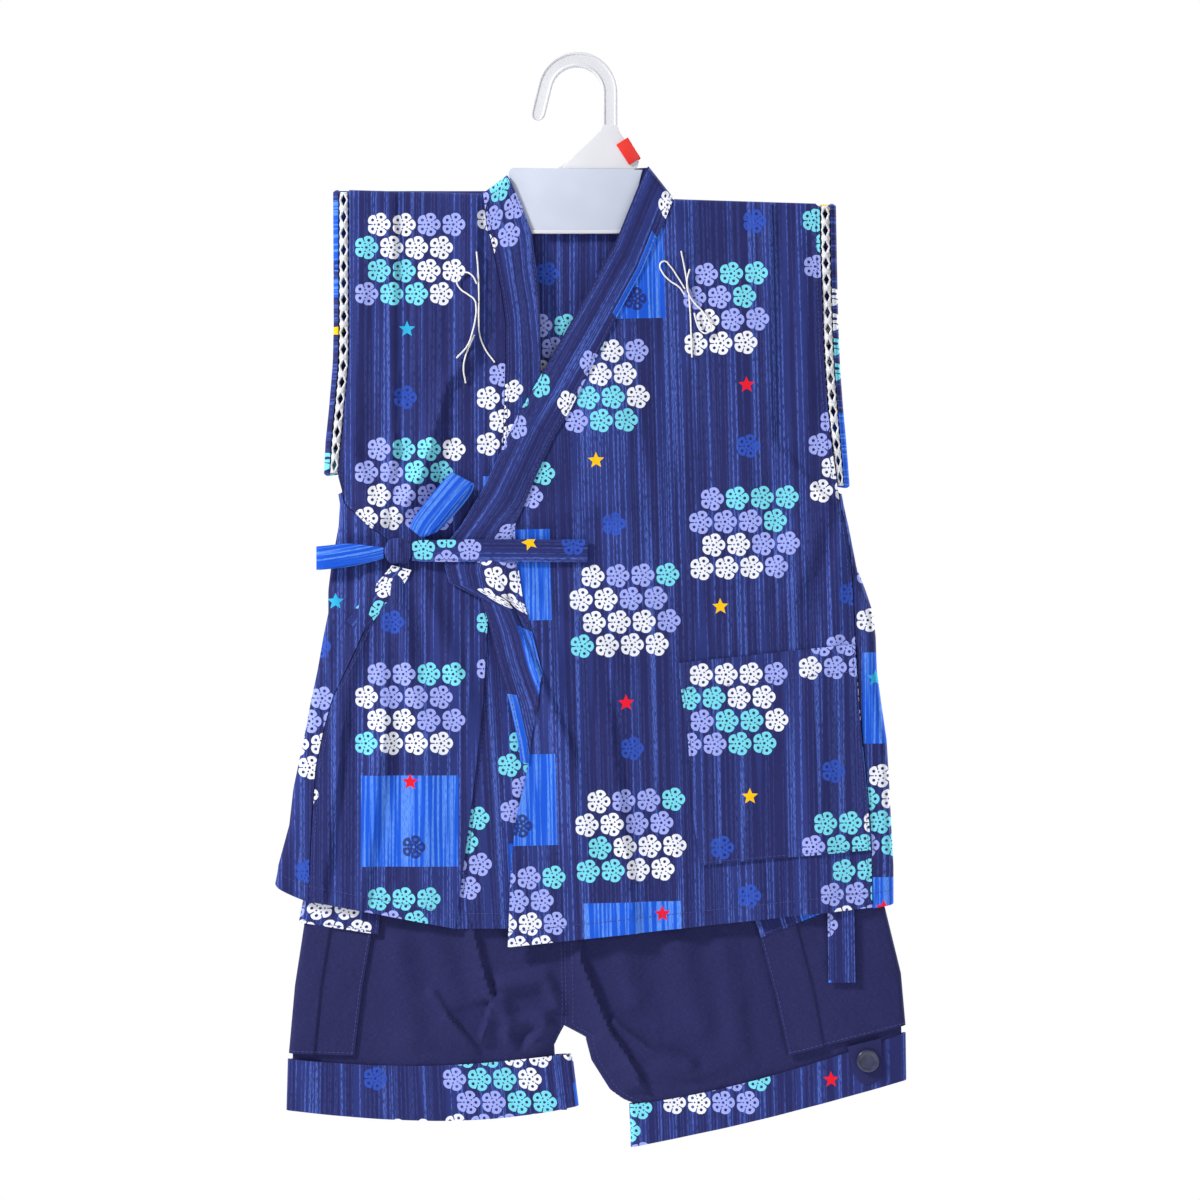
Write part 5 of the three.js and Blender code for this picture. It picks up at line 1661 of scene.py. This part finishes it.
def edge_line(node, edge, inset):
    """A line on a piece's outer face, along one of its edges and a little way in."""
    points, thickness, ring = SURFACES[node]
    normals = grid_normals(points, ring)
    outward = -1 if normals[-1, 0, 1] > 0 else 1
    if node in FACE_BEHIND:
        outward = -outward
    grid = points + normals * outward * (thickness / 2 + 0.08)
    if edge in ("top", "bottom"):
        grid = grid.transpose(1, 0, 2)
    if edge in ("right", "bottom"):
        grid = grid[:, ::-1]
    line = []
    for row in grid:
        run = np.concatenate([[0], np.cumsum(np.linalg.norm(np.diff(row, axis=0), axis=1))])
        line.append([np.interp(inset, run, row[:, k]) for k in range(3)])
    return np.array(line)


FACE_BEHIND = ["leg_right_back", "leg_left_back"]
HALVES = ("right", "left")
# Node, edge and inset of each row of stitches
STITCH_RUNS = [
    ("front_left", "bottom", 10), ("front_right", "bottom", 10), ("overlap_panel_right", "bottom", 10),
    ("back", "bottom", 10), ("front_right", "left", 2.5), ("front_left", "right", 2.5),
    ("collar_left", "right", 2.0), ("collar_left", "left", 1.6), ("collar_right", "left", 2.0),
    ("collar_right", "right", 1.6), ("overlap_panel_right", "left", 2.2),
    *[("patch_pocket", edge, 1.6) for edge in ("left", "right", "bottom")], ("patch_pocket", "top", 18),
    ("cuff_right", "top", 1.4), ("cuff_left", "top", 1.4),
    *[(f"cargo_pocket_{half}", edge, 1.6) for half in HALVES for edge in ("left", "bottom", "right")],
    *[(f"pocket_flap_{half}", edge, 1.6) for edge in ("left", "bottom") for half in HALVES],
    ("leg_right_front", "right", 1.3), ("leg_left_front", "left", 1.3), ("leg_left_front", "left", 6.0),
    ("leg_right_back", "right", 1.3), ("leg_left_back", "left", 1.3),
    ("tie_end_long", "left", 1.3), ("tie_end_short", "left", 1.3), ("tie_inner", "left", 1.5),
    ("sleeve_right", "bottom", 8), ("sleeve_left", "bottom", 8),
]
STITCH = {"pitch": 3.0, "long": 2.2, "wide": 0.42, "end": 0.35}


def add_stitches():
    places, faces = [], []
    for node, edge, inset in STITCH_RUNS:
        path = edge_line(node, edge, inset)
        total = np.concatenate([[0], np.cumsum(np.linalg.norm(np.diff(path, axis=0), axis=1))])
        for k in range(int(total[-1] // STITCH["pitch"])):
            begin = k * STITCH["pitch"] + 0.4
            start, end = (
                np.array([np.interp(begin + run, total, path[:, axis]) for axis in range(3)])
                for run in (0, STITCH["long"])
            )
            add_one_stitch(places, faces, start, end)
    obj = new_object("topstitching", places, faces)
    finish_piece(obj, STITCHING, "navy_cotton")


def add_one_stitch(places, faces, start, end):
    """A short thread, tapered at both ends, that lies on the cloth."""
    line = end - start
    side = np.cross(line, [0, 1, 0])
    side = side / max(np.linalg.norm(side), 1e-6) * STITCH["wide"] / 2
    lift = np.cross(side, line)
    lift = lift / max(np.linalg.norm(lift), 1e-6) * STITCH["wide"] / 2
    base = len(places)
    for share, scale in ((0, STITCH["end"]), (0.2, 1), (0.8, 1), (1, STITCH["end"])):
        for offset in (side, lift, -side, -lift):
            places.append(lerp(start, end, share) + offset * scale)
    for ring in range(3):
        for i in range(4):
            a, b = base + ring * 4 + i, base + ring * 4 + (i + 1) % 4
            faces.append((a, b, b + 4, a + 4))
    faces.append(tuple(base + i for i in (3, 2, 1, 0)))
    faces.append(tuple(base + 12 + i for i in (0, 1, 2, 3)))


# ---- Light, floor and the run ----

def add_light(name, place, aim, size, power):
    data = bpy.data.lights.new(name, "AREA")
    data.size = size
    data.energy = power
    light = bpy.data.objects.new(name, data)
    light.location = place
    direction = np.array(aim) - np.array(place)
    light.rotation_euler = (math.atan2(math.hypot(direction[0], direction[1]), -direction[2]), 0,
                            math.atan2(direction[1], direction[0]) - math.pi / 2)
    bpy.context.scene.collection.objects.link(light)


AMBIENT = 0.30
FLOOR = {"side": 1300, "near": -1500, "far": 500, "level": -900}


def add_stage():
    side, near, far, level = FLOOR["side"], FLOOR["near"], FLOOR["far"], FLOOR["level"]
    corners = [(-side, near, level), (side, near, level), (side, far, level), (-side, far, level)]
    floor = new_object("floor", corners, [(0, 1, 2, 3)])
    paper = solid_material("floor_paper", (0.84, 0.84, 0.84), (0.87, 0.87, 0.87), 0.9, 3)
    floor.data.materials.append(paper)
    world = bpy.data.worlds.new("world")
    bpy.context.scene.world = world
    world.use_nodes = True
    tree = world.node_tree
    seen = tree.nodes["Background"]
    seen.inputs["Color"].default_value = (1, 1, 1, 1)
    lighting = tree.nodes.new("ShaderNodeBackground")
    lighting.inputs["Color"].default_value = (0.96, 0.98, 1, 1)
    lighting.inputs["Strength"].default_value = AMBIENT
    chooser = tree.nodes.new("ShaderNodeMixShader")
    path = tree.nodes.new("ShaderNodeLightPath")
    tree.links.new(path.outputs["Is Camera Ray"], chooser.inputs[0])
    tree.links.new(lighting.outputs[0], chooser.inputs[1])
    tree.links.new(seen.outputs[0], chooser.inputs[2])
    tree.links.new(chooser.outputs[0], tree.nodes["World Output"].inputs[0])
    add_light("key", (-1.9, -0.95, 1.15), (0, 0, -0.35), 0.35, 84)
    add_light("fill", (1.3, -2.2, 0.1), (0, 0, -0.4), 1.6, 10)
    add_light("rear", (1.6, 1.1, 0.9), (0, 0, -0.35), 0.6, 80)
    bpy.context.scene.view_settings.view_transform = "Standard"


add_camera()
add_threads()
add_fronts()
add_collar()
add_back()
add_sleeves()
add_patch_pocket()
add_ties()
add_legs()
add_shorts_rings()
add_cargo_pockets()
add_tab_and_button()
add_hanger()
add_stitches()
add_stage()

bpy.context.view_layer.update()
